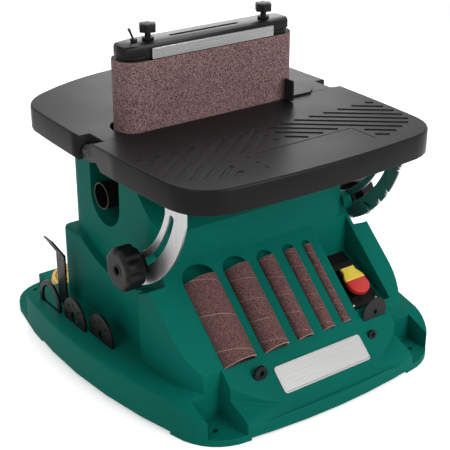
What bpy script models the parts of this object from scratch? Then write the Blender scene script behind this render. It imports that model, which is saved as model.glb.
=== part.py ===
"""Oscillating belt and spindle sander: moulded base, split tilting table, belt unit and stored accessories.

Lengths are millimetres, turned into metres by MM where mesh data is written. X is to the right, Y to the
back and Z up; the origin lies on the floor under the middle of the base.
"""
import math
from math import cos, pi, radians, sin

import bmesh
import bpy
from mathutils import Matrix, Vector

MM = 0.001
FIT = 0.3                      # clearance between pieces that touch

# Split table: a fixed rear half and a front half that tilts
TABLE_TOP = 333.0
TABLE_SKIRT = 32.0
TABLE_PLATE = 8.0
SKIRT_WALL = 6.0
TABLE_CORNERS = [(-194, -222), (194, -222), (200, 186), (-200, 186)]
TABLE_BOWS = [14, 8, 66, 8]
TABLE_ROUNDS = [48, 48, 34, 34]
TABLE_EDGE = 2.5
SPLIT_CLEAR = 2.5              # split line ahead of the belt
SPLIT_GAP = 0.6
PIVOT_Y = -2.0
PIVOT_DROP = 15.0              # hinge pin below the table top
TILT_MAX = radians(45)
PIN_R = 2.8
LUG_X = (189.0, 203.0)
BOSS_X = (172.0, 186.0)
RIB_X = 165.0                  # half length of the front half's rear rib

# Belt unit: 102 x 610 mm belt on two equal drums
BELT_WIDTH = 102.0
BELT_LOOP = 610.0
BELT_T = 1.1
DRUM_R = 25.0
DRUM_H = 105.5
BELT_X = -14.0                 # middle of the unit
BELT_Y = 16.0
BELT_SUNK = 11.0               # belt edge below the table top at mid stroke
STROKE = 16.0
SLOT_CLEAR = 5.5
ARM_T = 4.0
AXLE_R = 6.0
SPINDLE_R = 10.0
COVER_H = 14.0
TRACKING_IN = 24.75            # knobs and lever inwards from the drums' axes
CLAMP_IN = 13.75
LEVER_IN = 3.75

# Tilt quadrants and their lock knobs
QUAD_X = 175.0
QUAD_T = 3.0
STUD_R = 4.0
SLOT_R = 152.0                 # slot radius about the hinge pin
STUD_ANGLE = radians(26.6)     # from straight down towards the front
QUAD_OUT = 28.0                # quadrant edges outside and inside the slot radius
QUAD_IN = 14.0
LOCK_KNOB_R = 27.0
LOCK_KNOB_T = 27.0
LOCK_KNOB_HUB = 7.0
LOBE_DEPTH = 2.2
LOBES = 8

# Base housing
PLINTH_H = 50.0
PLINTH_CORNERS = [(-192, -246), (192, -246), (207, 262), (-207, 262)]
PLINTH_BOWS = [20, 40, 4, 40]
PLINTH_ROUNDS = [40, 40, 50, 50]
WALL = 8.0
LEDGE_T = 26.0
REAR_Z = 23.0                  # low platform behind the tower
REAR_T = 9.0
PAD_RISE = 4.0                 # edges between the corner pads clear the floor
TOWER_X = 160.0
TOWER_FRONT = -89.0
TOWER_REAR = 142.0
TOWER_ROUND = 28.0
SHOULDER_X = 172.0             # wider lower body
SHOULDER_Z = 155.0
SHOULDER_REAR = 150.0
SHOULDER_ROUND = 12.0
SHOULDER_R = 190.0             # its top edge follows the quadrants' sweep about the hinge pin
BOSS_R = 13.0
DAIS_CORNERS = [(-184, -186), (184, -186), (184, -72), (-184, -72)]
DAIS_BOWS = [76, 0, 0, 0]
DAIS_ROUNDS = [30, 30, 6, 6]
PANEL_Y = -260.0               # foot of the inclined panel
PANEL_Z = 18.0
PANEL_TILT = radians(42)
TAB_T = 9.0
FRONT_POCKET = (140.0, 187.0, -197.0)   # inner and outer side and back of the front corner pockets
REAR_POCKET = (161.0, 171.0)           # inner side and front of the rear ones
TAB_HOLES = [(-168, -221), (168, -221), (177, 243), (-177, 243)]
TAB_HOLE_R = 4.5

# Dust port in its recess on the left wall
PORT_Y = 46.0
PORT_Z = 232.0
PORT_R = 19.0
PORT_WALL = 2.2
RECESS_Y = 42.0
RECESS_Z = 228.0
RECESS_R = 38.0
RECESS_DEPTH = 34.0
RECESS_TOP = 284.0

# Accessories stored on the base
SLEEVE_R = [25.4, 19.0, 12.7, 9.5, 6.4]
SLEEVE_X = [-110.0, -52.0, -3.0, 37.5, 68.5]
SLEEVE_LENGTH = 120.0
SLEEVE_WALL = 1.6
SLEEVE_FOOT = 84.0             # along the panel from its foot
SLEEVE_SUNK = [5.4, 1.0, 1.0, 1.0, 1.0]   # axis below the panel
GROOVE_CLEAR = 0.6
INSERT_R = 30.0
INSERT_T = 4.0
INSERT_X = [-214.0, -211.0, -204.0]
INSERT_Y = [117.0, 51.0, -10.0]
INSERT_Z = 58.0
INSERT_BORE = [23.0, 8.5, 6.5]
INSERT_VENTS = [0, 8, 8]
WASHER_R = [21.0, 10.0, 6.5]
WASHER_T = [3.0, 5.0, 4.0]
WASHER_BORE = [4.0, 4.4, 3.0]
WASHER_AT = [(114, 78), (-93, 58), (95, 53)]
WASHER_RISE = [6.4, 5.5, 3.0]  # middle above the panel
WRENCH_X = -196.0
WRENCH_Y = 112.0
WRENCH_W = 24.0
WRENCH_T = 3.0
WRENCH_TOP = 157.0
WRENCH_BEND = 28.0             # height and reach of the bent head
WRENCH_REACH = 18.0
WRENCH_SUNK = 9.0

# Paddle switch in its sloping recess
SWITCH_X = (90.0, 154.0)
SWITCH_MID = 122.0
SWITCH_FOOT = 94.0
SWITCH_HEAD = 191.0
SWITCH_SLOPE = (13.0, 39.0)    # recess depth at its foot and head
SWITCH_CREST = 228.0           # top of the wall above its head
PADDLE_W = 34.0
PADDLE_U = 0.0
PADDLE_V = (16.0, 62.0)
PADDLE_HINGE = 58.0
KEY_V = 40.0

# Drive inside the tower
CAVITY = (-150.0, 148.0, -30.0, 132.0)
MOTOR_R = 46.0
MOTOR_Z = (40.0, 175.0)
MOUNT_Z = (175.3, 182.0)
CARRIER_Z = (246.0, 252.0)
CARRIER_TOP = 296.0
WORM_R = 14.0
WORM_Z = (202.0, 232.0)
GEAR_R = 24.0
GEAR_TEETH = 30
GEAR_T = 12.0

# Mains lead, coiled on the rear ledge
CORD_R = 3.0
COIL_X = -115.0
COIL_Y = 203.0
COIL_TURNS = 3.75              # in each of two layers
COIL_INNER = 22.0
COIL_PITCH = 6.7
COIL_STEP = 6.7
GLAND_X = -30.0
GLAND_Z = 80.0
GLAND_L = 27.0
PLUG_X = 12.0
PLUG_Y = 164.0
PLUG_R = 11.0

PIVOT_Z = TABLE_TOP - PIVOT_DROP
SKIRT_Z = TABLE_TOP - TABLE_SKIRT
PLATE_Z = TABLE_TOP - TABLE_PLATE
BELT_IN = DRUM_R + FIT + 0.1
BELT_OUT = BELT_IN + BELT_T
SPLIT_Y = BELT_Y - BELT_OUT - SPLIT_CLEAR
BELT_SPAN = (BELT_LOOP - 2 * pi * (BELT_IN + BELT_T / 2)) / 2
IDLER_X = BELT_X - BELT_SPAN / 2
DRIVE_X = BELT_X + BELT_SPAN / 2
TRACKING_X = IDLER_X + TRACKING_IN
CLAMP_X = DRIVE_X - CLAMP_IN
LEVER_X = IDLER_X + LEVER_IN
BELT_Z = TABLE_TOP - BELT_SUNK
DRUM_Z = BELT_Z - 4.0
ARM_LOW = DRUM_Z - 1.0 - ARM_T
ARM_TOP = DRUM_Z + DRUM_H + 2.0
COVER_Z = ARM_TOP + ARM_T + FIT
SLOT_END_R = BELT_OUT + SLOT_CLEAR
STUD_Y = PIVOT_Y - SLOT_R * sin(STUD_ANGLE)
STUD_Z = PIVOT_Z - SLOT_R * cos(STUD_ANGLE)
LEDGE_CORD_Z = REAR_Z + CORD_R + FIT


for old in list(bpy.data.objects):
    bpy.data.objects.remove(old)
PARTS = bpy.data.collections.new("oscillating_sander")
CUTTERS = bpy.data.collections.new("cutters")
for group in (PARTS, CUTTERS):
    bpy.context.scene.collection.children.link(group)


def material(name, colour, roughness, metallic=0.0):
    mat = bpy.data.materials.new(name)
    mat.use_nodes = True
    shader = mat.node_tree.nodes["Principled BSDF"]
    shader.inputs["Base Color"].default_value = (*colour, 1.0)
    shader.inputs["Roughness"].default_value = roughness
    shader.inputs["Metallic"].default_value = metallic
    return mat


GREEN = material("green_moulding", (0.010, 0.130, 0.098), 0.45)
TABLE = material("table_casting", (0.030, 0.030, 0.032), 0.5)
BLACK = material("black_plastic", (0.018, 0.018, 0.019), 0.45)
STEEL = material("brushed_steel", (0.55, 0.55, 0.56), 0.35, 1.0)
DARK_STEEL = material("dark_steel", (0.10, 0.10, 0.11), 0.4, 1.0)
ABRASIVE = material("abrasive_cloth", (0.19, 0.085, 0.070), 0.95)
RUBBER = material("drum_rubber", (0.03, 0.03, 0.03), 0.8)
ALUMINIUM = material("cast_aluminium", (0.45, 0.45, 0.46), 0.4, 1.0)
BRASS = material("gear_bronze", (0.45, 0.28, 0.08), 0.4, 1.0)
RED = material("switch_red", (0.62, 0.035, 0.030), 0.4)
YELLOW = material("switch_yellow", (0.85, 0.62, 0.10), 0.4)
LEAD = material("lead_yellow", (0.85, 0.52, 0.14), 0.5)


# Mesh makers: each returns mesh data in metres

def finish_mesh(bm, turn=None, move=(0, 0, 0)):
    """Weld, turn, move and face a bmesh outwards, and return it as mesh data."""
    bmesh.ops.remove_doubles(bm, verts=bm.verts, dist=1e-6)
    if turn is not None:
        bmesh.ops.transform(bm, matrix=turn.to_4x4(), verts=bm.verts)
    bmesh.ops.translate(bm, vec=Vector(move) * MM, verts=bm.verts)
    bmesh.ops.recalc_face_normals(bm, faces=bm.faces)
    mesh = bpy.data.meshes.new("piece")
    bm.to_mesh(mesh)
    bm.free()
    return mesh


def from_object(source):
    """Evaluated mesh of a helper object, as a bmesh; the helper is removed."""
    CUTTERS.objects.link(source)
    bpy.context.view_layer.update()
    graph = bpy.context.evaluated_depsgraph_get()
    mesh = bpy.data.meshes.new_from_object(source.evaluated_get(graph), depsgraph=graph)
    bpy.data.objects.remove(source)
    bm = bmesh.new()
    bm.from_mesh(mesh)
    bpy.data.meshes.remove(mesh)
    bmesh.ops.remove_doubles(bm, verts=bm.verts, dist=1e-6)
    return bm


ALONG_X = Matrix(((0, 0, 1), (1, 0, 0), (0, 1, 0)))    # outline (y, z), thickness along X
ALONG_Y = Matrix(((1, 0, 0), (0, 0, -1), (0, 1, 0)))   # outline (x, z), thickness towards -Y


def plate_bmesh(loops, thick):
    """Flat plate from a rim and any holes, standing on z = 0."""
    curve = bpy.data.curves.new("outline", "CURVE")
    curve.dimensions = "2D"
    curve.fill_mode = "BOTH"
    curve.extrude = thick * MM / 2
    for loop in loops:
        spline = curve.splines.new("POLY")
        spline.points.add(len(loop) - 1)
        for point, (x, y) in zip(spline.points, loop):
            point.co = (x * MM, y * MM, 0, 1)
        spline.use_cyclic_u = True
    bm = from_object(bpy.data.objects.new("outline", curve))
    bmesh.ops.translate(bm, vec=(0, 0, thick * MM / 2), verts=bm.verts)
    if len(loops) == 1:
        bmesh.ops.dissolve_limit(bm, angle_limit=radians(0.2), verts=bm.verts, edges=bm.edges)
    return bm


def plate(loops, thick, turn=None, move=(0, 0, 0)):
    return finish_mesh(plate_bmesh(loops, thick), turn, move)


def edged_plate(outline, thick, edge, move, skip_y=None):
    """Plate whose top rim is chamfered, apart from a straight side at skip_y."""
    bm = plate_bmesh([outline], thick)
    level = thick * MM

    def on_rim(rim):
        flat = all(abs(vert.co.z - level) < 1e-6 for vert in rim.verts)
        cut = skip_y is not None and all(abs(vert.co.y - skip_y * MM) < 1e-6 for vert in rim.verts)
        return flat and not cut
    rims = [rim for rim in bm.edges if on_rim(rim)]
    bmesh.ops.bevel(bm, geom=rims, offset=edge * MM, segments=2, profile=0.5, affect="EDGES")
    return finish_mesh(bm, move=move)


def turned(profile, steps=28, turn=None, move=(0, 0, 0)):
    """Solid turned about Z from (radius, z) points; a first point repeated at the end makes a ring."""
    ring = profile[0] == profile[-1]
    points = profile[:-1] if ring else profile
    count = len(points)
    edges = [(i, i + 1) for i in range(count - 1)]
    if ring:
        edges.append((count - 1, 0))
    mesh = bpy.data.meshes.new("profile")
    mesh.from_pydata([(r * MM, 0, z * MM) for r, z in points], edges, [])
    helper = bpy.data.objects.new("profile", mesh)
    screw = helper.modifiers.new("turn", "SCREW")
    screw.steps = screw.render_steps = steps
    screw.use_merge_vertices = True
    screw.merge_threshold = 1e-5
    return finish_mesh(from_object(helper), turn, move)


def rod(radius, length, segments=24, turn=None, move=(0, 0, 0)):
    """Cylinder from z = 0 to z = length before it is turned and moved."""
    bm = bmesh.new()
    bmesh.ops.create_cone(bm, cap_ends=True, segments=segments, radius1=radius * MM, radius2=radius * MM,
                          depth=length * MM, matrix=Matrix.Translation((0, 0, length * MM / 2)))
    return finish_mesh(bm, turn, move)


def block(x, y, z):
    """Box between pairs of limits."""
    bm = bmesh.new()
    size = Matrix.Diagonal(((x[1] - x[0]) * MM, (y[1] - y[0]) * MM, (z[1] - z[0]) * MM, 1))
    bmesh.ops.create_cube(bm, size=1, matrix=size)
    return finish_mesh(bm, move=((x[0] + x[1]) / 2, (y[0] + y[1]) / 2, (z[0] + z[1]) / 2))


# Outlines in millimetres

def arc(x, y, radius, start, end, steps=12):
    """Points on a circle between two angles in degrees, ends included."""
    angles = [radians(start + (end - start) * i / steps) for i in range(steps + 1)]
    return [(x + radius * cos(a), y + radius * sin(a)) for a in angles]


def circle(x, y, radius, steps=24):
    return arc(x, y, radius, 0, 360 * (steps - 1) / steps, steps - 1)


def stadium(x0, x1, y, radius, steps=10):
    return arc(x1, y, radius, -90, 90, steps) + arc(x0, y, radius, 90, 270, steps)


def rounded(x, y, radius, steps=5):
    """Rectangle between pairs of limits with round corners."""
    centres = [(x[1] - radius, y[0] + radius, -90), (x[1] - radius, y[1] - radius, 0),
               (x[0] + radius, y[1] - radius, 90), (x[0] + radius, y[0] + radius, 180)]
    points = []
    for cx, cy, start in centres:
        points += arc(cx, cy, radius, start, start + 90, steps)
    return points


def bowed(corners, bows, rounds, inset=0.0, steps=6, corner_steps=6):
    """Four-sided outline with bowed sides and soft corners, drawn counter-clockwise."""
    middle = Vector((sum(c[0] for c in corners) / 4, sum(c[1] for c in corners) / 4))
    tips = []
    for corner in corners:
        away = Vector(corner) - middle
        tips.append(Vector(corner) - Vector((math.copysign(inset, away.x), math.copysign(inset, away.y))))
    sides = []
    for i, tip in enumerate(tips):
        along = tips[(i + 1) % 4] - tip
        outward = Vector((along.y, -along.x)).normalized()
        first = rounds[i] / along.length
        last = 1 - rounds[(i + 1) % 4] / along.length
        ratios = [first + (last - first) * k / steps for k in range(steps + 1)]
        sides.append([tip + along * t + outward * 4 * bows[i] * t * (1 - t) for t in ratios])
    points = []
    for i, side in enumerate(sides):
        start, tip, end = sides[i - 1][-1], tips[i], side[0]
        # the soft corner's handle is where the two bowed sides would meet
        handle = tip + ((start - tip) + (end - tip)) * 0.06
        for k in range(1, corner_steps):
            t = k / corner_steps
            points.append(start * (1 - t) ** 2 + handle * 2 * t * (1 - t) + end * t * t)
        points += side
    return [(p.x, p.y) for p in points]


def clipped(points, limit, keep_front):
    """Part of an outline in front of, or behind, the line y = limit."""
    sign = 1 if keep_front else -1
    kept = []
    for (x0, y0), (x1, y1) in zip(points, points[1:] + points[:1]):
        inside0, inside1 = sign * (limit - y0) >= 0, sign * (limit - y1) >= 0
        if inside0:
            kept.append((x0, y0))
        if inside0 != inside1:
            t = (limit - y0) / (y1 - y0)
            kept.append((x0 + (x1 - x0) * t, limit))
    return kept


def lobed(radius, depth, lobes, steps):
    """Outline of a hand knob with rounded lobes."""
    angles = [2 * pi * i / steps for i in range(steps)]
    return [((radius + depth * cos(lobes * a)) * cos(a), (radius + depth * cos(lobes * a)) * sin(a))
            for a in angles]


# Objects and Booleans

def piece(name, mesh, mat, at=(0, 0, 0), parent=None):
    """Named sub-part; a moving piece has its origin at the point on its joint's axis."""
    mesh.name = name
    mesh.materials.append(mat)
    mesh.shade_smooth()
    mesh.set_sharp_from_angle(angle=radians(35))
    ob = bpy.data.objects.new(name, mesh)
    PARTS.objects.link(ob)
    mesh.transform(Matrix.Translation(Vector(at) * -MM))
    ob.location = Vector(at) * MM
    ob.parent = parent
    return ob


def tool(mesh, parent=None):
    ob = bpy.data.objects.new("cutter", mesh)
    CUTTERS.objects.link(ob)
    ob.hide_render = True
    ob.display_type = "WIRE"
    ob.parent = parent
    return ob


def shape(target, operation, mesh, parent=None):
    change = target.modifiers.new(operation.lower(), "BOOLEAN")
    change.operation = operation
    change.solver = "EXACT"
    change.object = tool(mesh, parent)


def cut(target, *meshes, parent=None):
    for mesh in meshes:
        shape(target, "DIFFERENCE", mesh, parent)


def join(target, *meshes, parent=None):
    for mesh in meshes:
        shape(target, "UNION", mesh, parent)


def frame(name, at, tilt=0.0, parent=None):
    ob = bpy.data.objects.new(name, None)
    PARTS.objects.link(ob)
    ob.location = Vector(at) * MM
    ob.rotation_euler = (tilt, 0, 0)
    ob.parent = parent
    return ob


PANEL = frame("panel_frame", (0, PANEL_Y, PANEL_Z), PANEL_TILT)
SWITCH_ANGLE = math.atan2(SWITCH_SLOPE[1] - SWITCH_SLOPE[0], SWITCH_HEAD - SWITCH_FOOT)
SWITCH = frame("switch_frame", (SWITCH_MID, SWITCH_FOOT, -SWITCH_SLOPE[0]), -SWITCH_ANGLE, PANEL)


def hinge_outline():
    """Lug of the front half round its hinge pin, as (y, z) points."""
    return [(SPLIT_Y - 11, PIVOT_Z - 6), (PIVOT_Y - 2, PIVOT_Z - 13), (PIVOT_Y + 16, PIVOT_Z - 12),
            (PIVOT_Y + 20, PIVOT_Z - 8), (PIVOT_Y + 19.5, PIVOT_Z - 1), (PIVOT_Y + 12, PIVOT_Z + 7),
            (SPLIT_Y - 0.5, TABLE_TOP - 0.5), (SPLIT_Y - 11, TABLE_TOP - 3)]


def table_halves():
    rim = bowed(TABLE_CORNERS, TABLE_BOWS, TABLE_ROUNDS)
    inner = bowed(TABLE_CORNERS, TABLE_BOWS, TABLE_ROUNDS, inset=SKIRT_WALL)
    pin_hole = PIN_R + FIT

    front = piece("front_table", edged_plate(clipped(rim, SPLIT_Y, True), TABLE_SKIRT, TABLE_EDGE,
                                             (0, 0, SKIRT_Z), skip_y=SPLIT_Y),
                  TABLE, at=(0, PIVOT_Y, PIVOT_Z))
    cut(front, plate([clipped(inner, SPLIT_Y - SKIRT_WALL, True)], TABLE_SKIRT,
                     move=(0, 0, PLATE_Z - TABLE_SKIRT)))
    drop = PIVOT_Z - SKIRT_Z + 1
    undercut = [(SPLIT_Y + 1, PIVOT_Z + 1), (SPLIT_Y - drop, PIVOT_Z - drop), (SPLIT_Y + 1, PIVOT_Z - drop)]
    cut(front, plate([undercut], 2 * TOWER_X + 140, ALONG_X, (-TOWER_X - 70, 0, 0)))
    for side in (-1, 1):
        open_rib = sorted((side * RIB_X, side * (LUG_X[0] - 0.5)))
        cut(front, block(open_rib, (SPLIT_Y - SKIRT_WALL - 1, SPLIT_Y + 1), (SKIRT_Z - 1, PLATE_Z)))
        left = min(side * LUG_X[0], side * LUG_X[1])
        join(front, plate([hinge_outline()], LUG_X[1] - LUG_X[0], ALONG_X, (left, 0, 0)))
    cut(front, rod(pin_hole, 500, 16, ALONG_X, (-250, PIVOT_Y, PIVOT_Z)))

    rear = piece("rear_table", edged_plate(clipped(rim, SPLIT_Y + SPLIT_GAP, False), TABLE_SKIRT, TABLE_EDGE,
                                           (0, 0, SKIRT_Z), skip_y=SPLIT_Y + SPLIT_GAP), TABLE)
    cut(rear, plate([clipped(inner, SPLIT_Y - 20, False)], TABLE_SKIRT, move=(0, 0, PLATE_Z - TABLE_SKIRT)))
    cut(rear, plate([stadium(IDLER_X, DRIVE_X, BELT_Y, SLOT_END_R)], TABLE_SKIRT + 20,
                    move=(0, 0, SKIRT_Z - 10)))
    for side in (-1, 1):
        inside, back = LUG_X[0] - 1.5, PIVOT_Y + 26
        cut(rear, block(sorted((side * inside, side * 220)), (SPLIT_Y - 2, back), (SKIRT_Z - 2, TABLE_TOP + 2)))
        walls = (SKIRT_Z + 1, PLATE_Z + 1)
        join(rear, block(sorted((side * (inside - 3.5), side * inside)), (SPLIT_Y + 1, back + 3), walls),
             block(sorted((side * (inside - 3), side * (inside + 12))), (back, back + 3.5), walls))
        boss = sorted((side * BOSS_X[0], side * BOSS_X[1]))
        join(rear, block(boss, (PIVOT_Y - 5.5, PIVOT_Y + 14), (PIVOT_Z - 9, PLATE_Z + 1)))
    cut(rear, rod(pin_hole, 500, 16, ALONG_X, (-250, PIVOT_Y, PIVOT_Z)))
    for side, name in ((-1, "hinge_pin_left"), (1, "hinge_pin_right")):
        start = min(side * (BOSS_X[0] + 1), side * LUG_X[1])
        piece(name, rod(PIN_R, LUG_X[1] - BOSS_X[0] - 1, 16, ALONG_X, (start, PIVOT_Y, PIVOT_Z)), STEEL)


def swing(radius, angle):
    """Point (y, z) at an angle from straight down towards the front, about the hinge pin."""
    return (PIVOT_Y - radius * sin(radians(angle)), PIVOT_Z - radius * cos(radians(angle)))


def quadrant_outline(notches):
    """Quadrant rim as (y, z) points: hanger, straight front edge, outer arc and inner arc."""
    outer, inner = SLOT_R + QUAD_OUT, SLOT_R - QUAD_IN
    first = math.degrees(STUD_ANGLE) - 9
    last = math.degrees(STUD_ANGLE + TILT_MAX) + 4
    top = PLATE_Z - FIT
    rim = []
    steps = 30
    for i in range(steps + 1):
        rim.append(swing(outer, first + (last - first) * i / steps))
    for stop in notches:
        angle = math.degrees(STUD_ANGLE) + stop
        rim += [swing(outer, angle - 1.4), swing(outer - 6, angle - 1.2),
                swing(outer - 6, angle + 1.2), swing(outer, angle + 1.4)]
    rim.sort(key=lambda p: math.atan2(PIVOT_Y - p[0], PIVOT_Z - p[1]))
    front = rim[-1][0]
    back = [swing(inner, last - 4 - (last - 4 - first) * i / 16) for i in range(17)]
    return rim + [(front, top), (back[0][0], top)] + back


def slot_outline():
    """Curved slot that the lock stud runs in."""
    half = STUD_R + 1.0
    first, last = math.degrees(STUD_ANGLE), math.degrees(STUD_ANGLE + TILT_MAX)
    first, last = first - 1.0, last + 1.0
    count = 16
    out = [swing(SLOT_R + half, first + (last - first) * i / count) for i in range(count + 1)]
    back = [swing(SLOT_R - half, last - (last - first) * i / count) for i in range(count + 1)]
    tips = []
    for angle, way in ((last, 1), (first, -1)):
        y, z = swing(SLOT_R, angle)
        turn = radians(angle)
        tips.append([(y - half * (sin(turn) * cos(a) + way * cos(turn) * sin(a)),
                      z - half * (cos(turn) * cos(a) - way * sin(turn) * sin(a)))
                     for a in (pi / 4, pi / 2, 3 * pi / 4)])
    return out + tips[0] + back + tips[1][::-1]


def quadrants():
    for side, name, stops in ((-1, "quadrant_left", ()), (1, "quadrant_right", (0, 15, 22.5, 30, 45))):
        outer = side * (QUAD_X + QUAD_T / 2)
        left = min(outer, outer - side * QUAD_T)
        arm = piece(name, plate([quadrant_outline(stops), slot_outline()], QUAD_T, ALONG_X, (left, 0, 0)),
                    STEEL, at=(0, PIVOT_Y, PIVOT_Z))
        foot = sorted((outer, side * (QUAD_X - 16)))
        top = PLATE_Z - FIT
        front = quadrant_outline(())[30][0]
        join(arm, block(foot, (front + 1, front + 40), (top - QUAD_T, top)))


def hand_knob(name, outline, thick, axis_point, turn, stem, washer):
    """Lobed knob with its threaded stem and washer, along the turned Z axis."""
    bm = plate_bmesh([outline], thick)
    rims = [e for e in bm.edges if all(v.co.z > thick * MM - 1e-6 for v in e.verts)]
    bmesh.ops.bevel(bm, geom=rims, offset=2 * MM, segments=2, profile=0.5, affect="EDGES")
    knob = piece(name, finish_mesh(bm, turn, axis_point), BLACK, at=axis_point)
    washer_r, washer_top, washer_foot = washer
    bury = 3.5
    profile = [(0, bury), (STUD_R, bury), (STUD_R, washer_top), (washer_r, washer_top),
               (washer_r, washer_foot), (STUD_R, washer_foot), (STUD_R, -stem), (0, -stem)]
    join(knob, turned(profile, 16, turn, axis_point))
    return knob


def lock_knobs():
    hub = LOCK_KNOB_HUB
    for side, name in ((-1, "lock_knob_left"), (1, "lock_knob_right")):
        turn = ALONG_X if side > 0 else Matrix.Rotation(pi, 3, "Z") @ ALONG_X
        face = side * (QUAD_X + QUAD_T / 2 + FIT + hub)
        rim = lobed(LOCK_KNOB_R, LOBE_DEPTH, LOBES, 8 * LOBES)
        knob = hand_knob(name, rim, LOCK_KNOB_T, (face, STUD_Y, STUD_Z), turn,
                         hub + QUAD_T + 22, (12, 2, -hub))
        recess = sorted((face + side * (LOCK_KNOB_T - 7), face + side * (LOCK_KNOB_T + 2)))
        cut(knob, rod(5.5, recess[1] - recess[0], 16, ALONG_X, (recess[0], STUD_Y, STUD_Z)))


def belt_unit():
    low = BELT_Y - BELT_IN + FIT
    arm = piece("belt_frame", plate([stadium(IDLER_X, DRIVE_X, BELT_Y, 21)], ARM_T, move=(0, 0, ARM_TOP)),
                ALUMINIUM)
    join(arm, block((IDLER_X + 30, DRIVE_X - 30), (low, low + 6), (ARM_LOW + 2, ARM_TOP + 2)),
         block((BELT_X - 50, BELT_X + 50), (low + 3, low + 30), (ARM_LOW + 2, ARM_TOP + 2)),
         plate([stadium(IDLER_X, DRIVE_X, BELT_Y, 20)], ARM_T, move=(0, 0, ARM_LOW)))
    cut(arm, rod(AXLE_R + FIT, 160, 20, move=(IDLER_X, BELT_Y, ARM_LOW - 10)),
        rod(AXLE_R + FIT, 20, 20, move=(DRIVE_X, BELT_Y, ARM_TOP - 8)),
        rod(SPINDLE_R + 0.6, 20, 24, move=(DRIVE_X, BELT_Y, ARM_LOW - 8)))
    for x in (TRACKING_X, CLAMP_X):
        cut(arm, rod(STUD_R + FIT, 20, 16, move=(x, BELT_Y, ARM_TOP - 8)))

    axle_length = ARM_TOP - ARM_LOW + ARM_T + 1
    piece("idler_axle", rod(AXLE_R, axle_length, 20, move=(IDLER_X, BELT_Y, ARM_LOW - 1)), STEEL)
    drums = (("idler_drum", IDLER_X, AXLE_R, ALUMINIUM), ("drive_drum", DRIVE_X, SPINDLE_R, RUBBER))
    for name, x, bore, mat in drums:
        r0, top = bore + FIT + 0.1, DRUM_H
        ring = [(DRUM_R - 1, top), (DRUM_R, top - 1), (DRUM_R, 1), (DRUM_R - 1, 0), (r0, 0), (r0, top),
                (DRUM_R - 1, top)]
        piece(name, turned(ring, 32, move=(x, BELT_Y, DRUM_Z)), mat, at=(x, BELT_Y, DRUM_Z))
    stub = ARM_TOP + ARM_T - FIT
    shaft = [(0, stub), (AXLE_R, stub), (AXLE_R, DRUM_Z + DRUM_H), (SPINDLE_R, DRUM_Z + DRUM_H),
             (SPINDLE_R, WORM_Z[1] + 3), (WORM_R, WORM_Z[1]), (WORM_R, WORM_Z[0]), (SPINDLE_R, WORM_Z[0] - 3),
             (SPINDLE_R, MOUNT_Z[1] + 12), (0, MOUNT_Z[1] + 12)]
    piece("spindle_shaft", turned(shaft, 24, move=(DRIVE_X, BELT_Y, 0)), STEEL, at=(DRIVE_X, BELT_Y, DRUM_Z))

    loops = [stadium(IDLER_X, DRIVE_X, BELT_Y, BELT_OUT, 16), stadium(IDLER_X, DRIVE_X, BELT_Y, BELT_IN, 16)]
    piece("sanding_belt", plate(loops, BELT_WIDTH, move=(0, 0, BELT_Z)), ABRASIVE)

    reach = BELT_SPAN / 2
    half = [(reach - 8, -21), (reach + 17, -15), (reach + 21, -9)]
    half += [(x, -y) for x, y in reversed(half)]
    outline = [(BELT_X + x, BELT_Y + y) for x, y in half] + [(BELT_X - x, BELT_Y - y) for x, y in half]
    cover = piece("belt_cover", edged_plate(outline, COVER_H, 4, (0, 0, COVER_Z)), BLACK)
    cut(cover, plate([stadium(BELT_X - 52, BELT_X + 52, BELT_Y, 3)], 8, move=(0, 0, COVER_Z + COVER_H - 3)))
    for x, name in ((TRACKING_X, "tracking_knob"), (CLAMP_X, "clamp_knob")):
        cut(cover, rod(STUD_R + 0.6, 40, 16, move=(x, BELT_Y, COVER_Z - 10)))
        head = COVER_Z + COVER_H + 10
        hand_knob(name, lobed(10.5, 1.2, 6, 30), 11, (x, BELT_Y, head), None, head - ARM_TOP - 1,
                  (8, FIT - 7, FIT - 10))
    foot = (LEVER_X, BELT_Y, COVER_Z + COVER_H + FIT)
    lever = piece("tension_lever", rod(4.5, 4, 16, move=foot), STEEL, at=foot)
    lean = Matrix.Rotation(radians(-24), 3, "Y")
    join(lever, rod(1.5, 17, 10, lean, (foot[0], foot[1], foot[2] + 2)))


def work_stop():
    """Guard plate round the belt's right end, with the stop tab turned up in front of the belt."""
    plate_t = 2.5
    clear = BELT_OUT + 2.0
    front = BELT_Y - clear - 2.5
    start = DRIVE_X + 2.5
    inner = arc(DRIVE_X, BELT_Y, clear, 60, -84, 14)
    outer = arc(DRIVE_X + 9.5, BELT_Y + 29, clear + 42.5, -56, 62, 14)
    outline = [(start, front), (outer[0][0] - 1, front)] + outer + inner
    base = TABLE_TOP + FIT
    stop = piece("work_stop", plate([outline], plate_t, move=(0, 0, base)), DARK_STEEL)
    tab = rounded((front - 16, BELT_Y - clear), (base + 0.5, base + 30), 3)
    join(stop, plate([tab], plate_t, ALONG_X, (start, 0, 0)))


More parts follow.
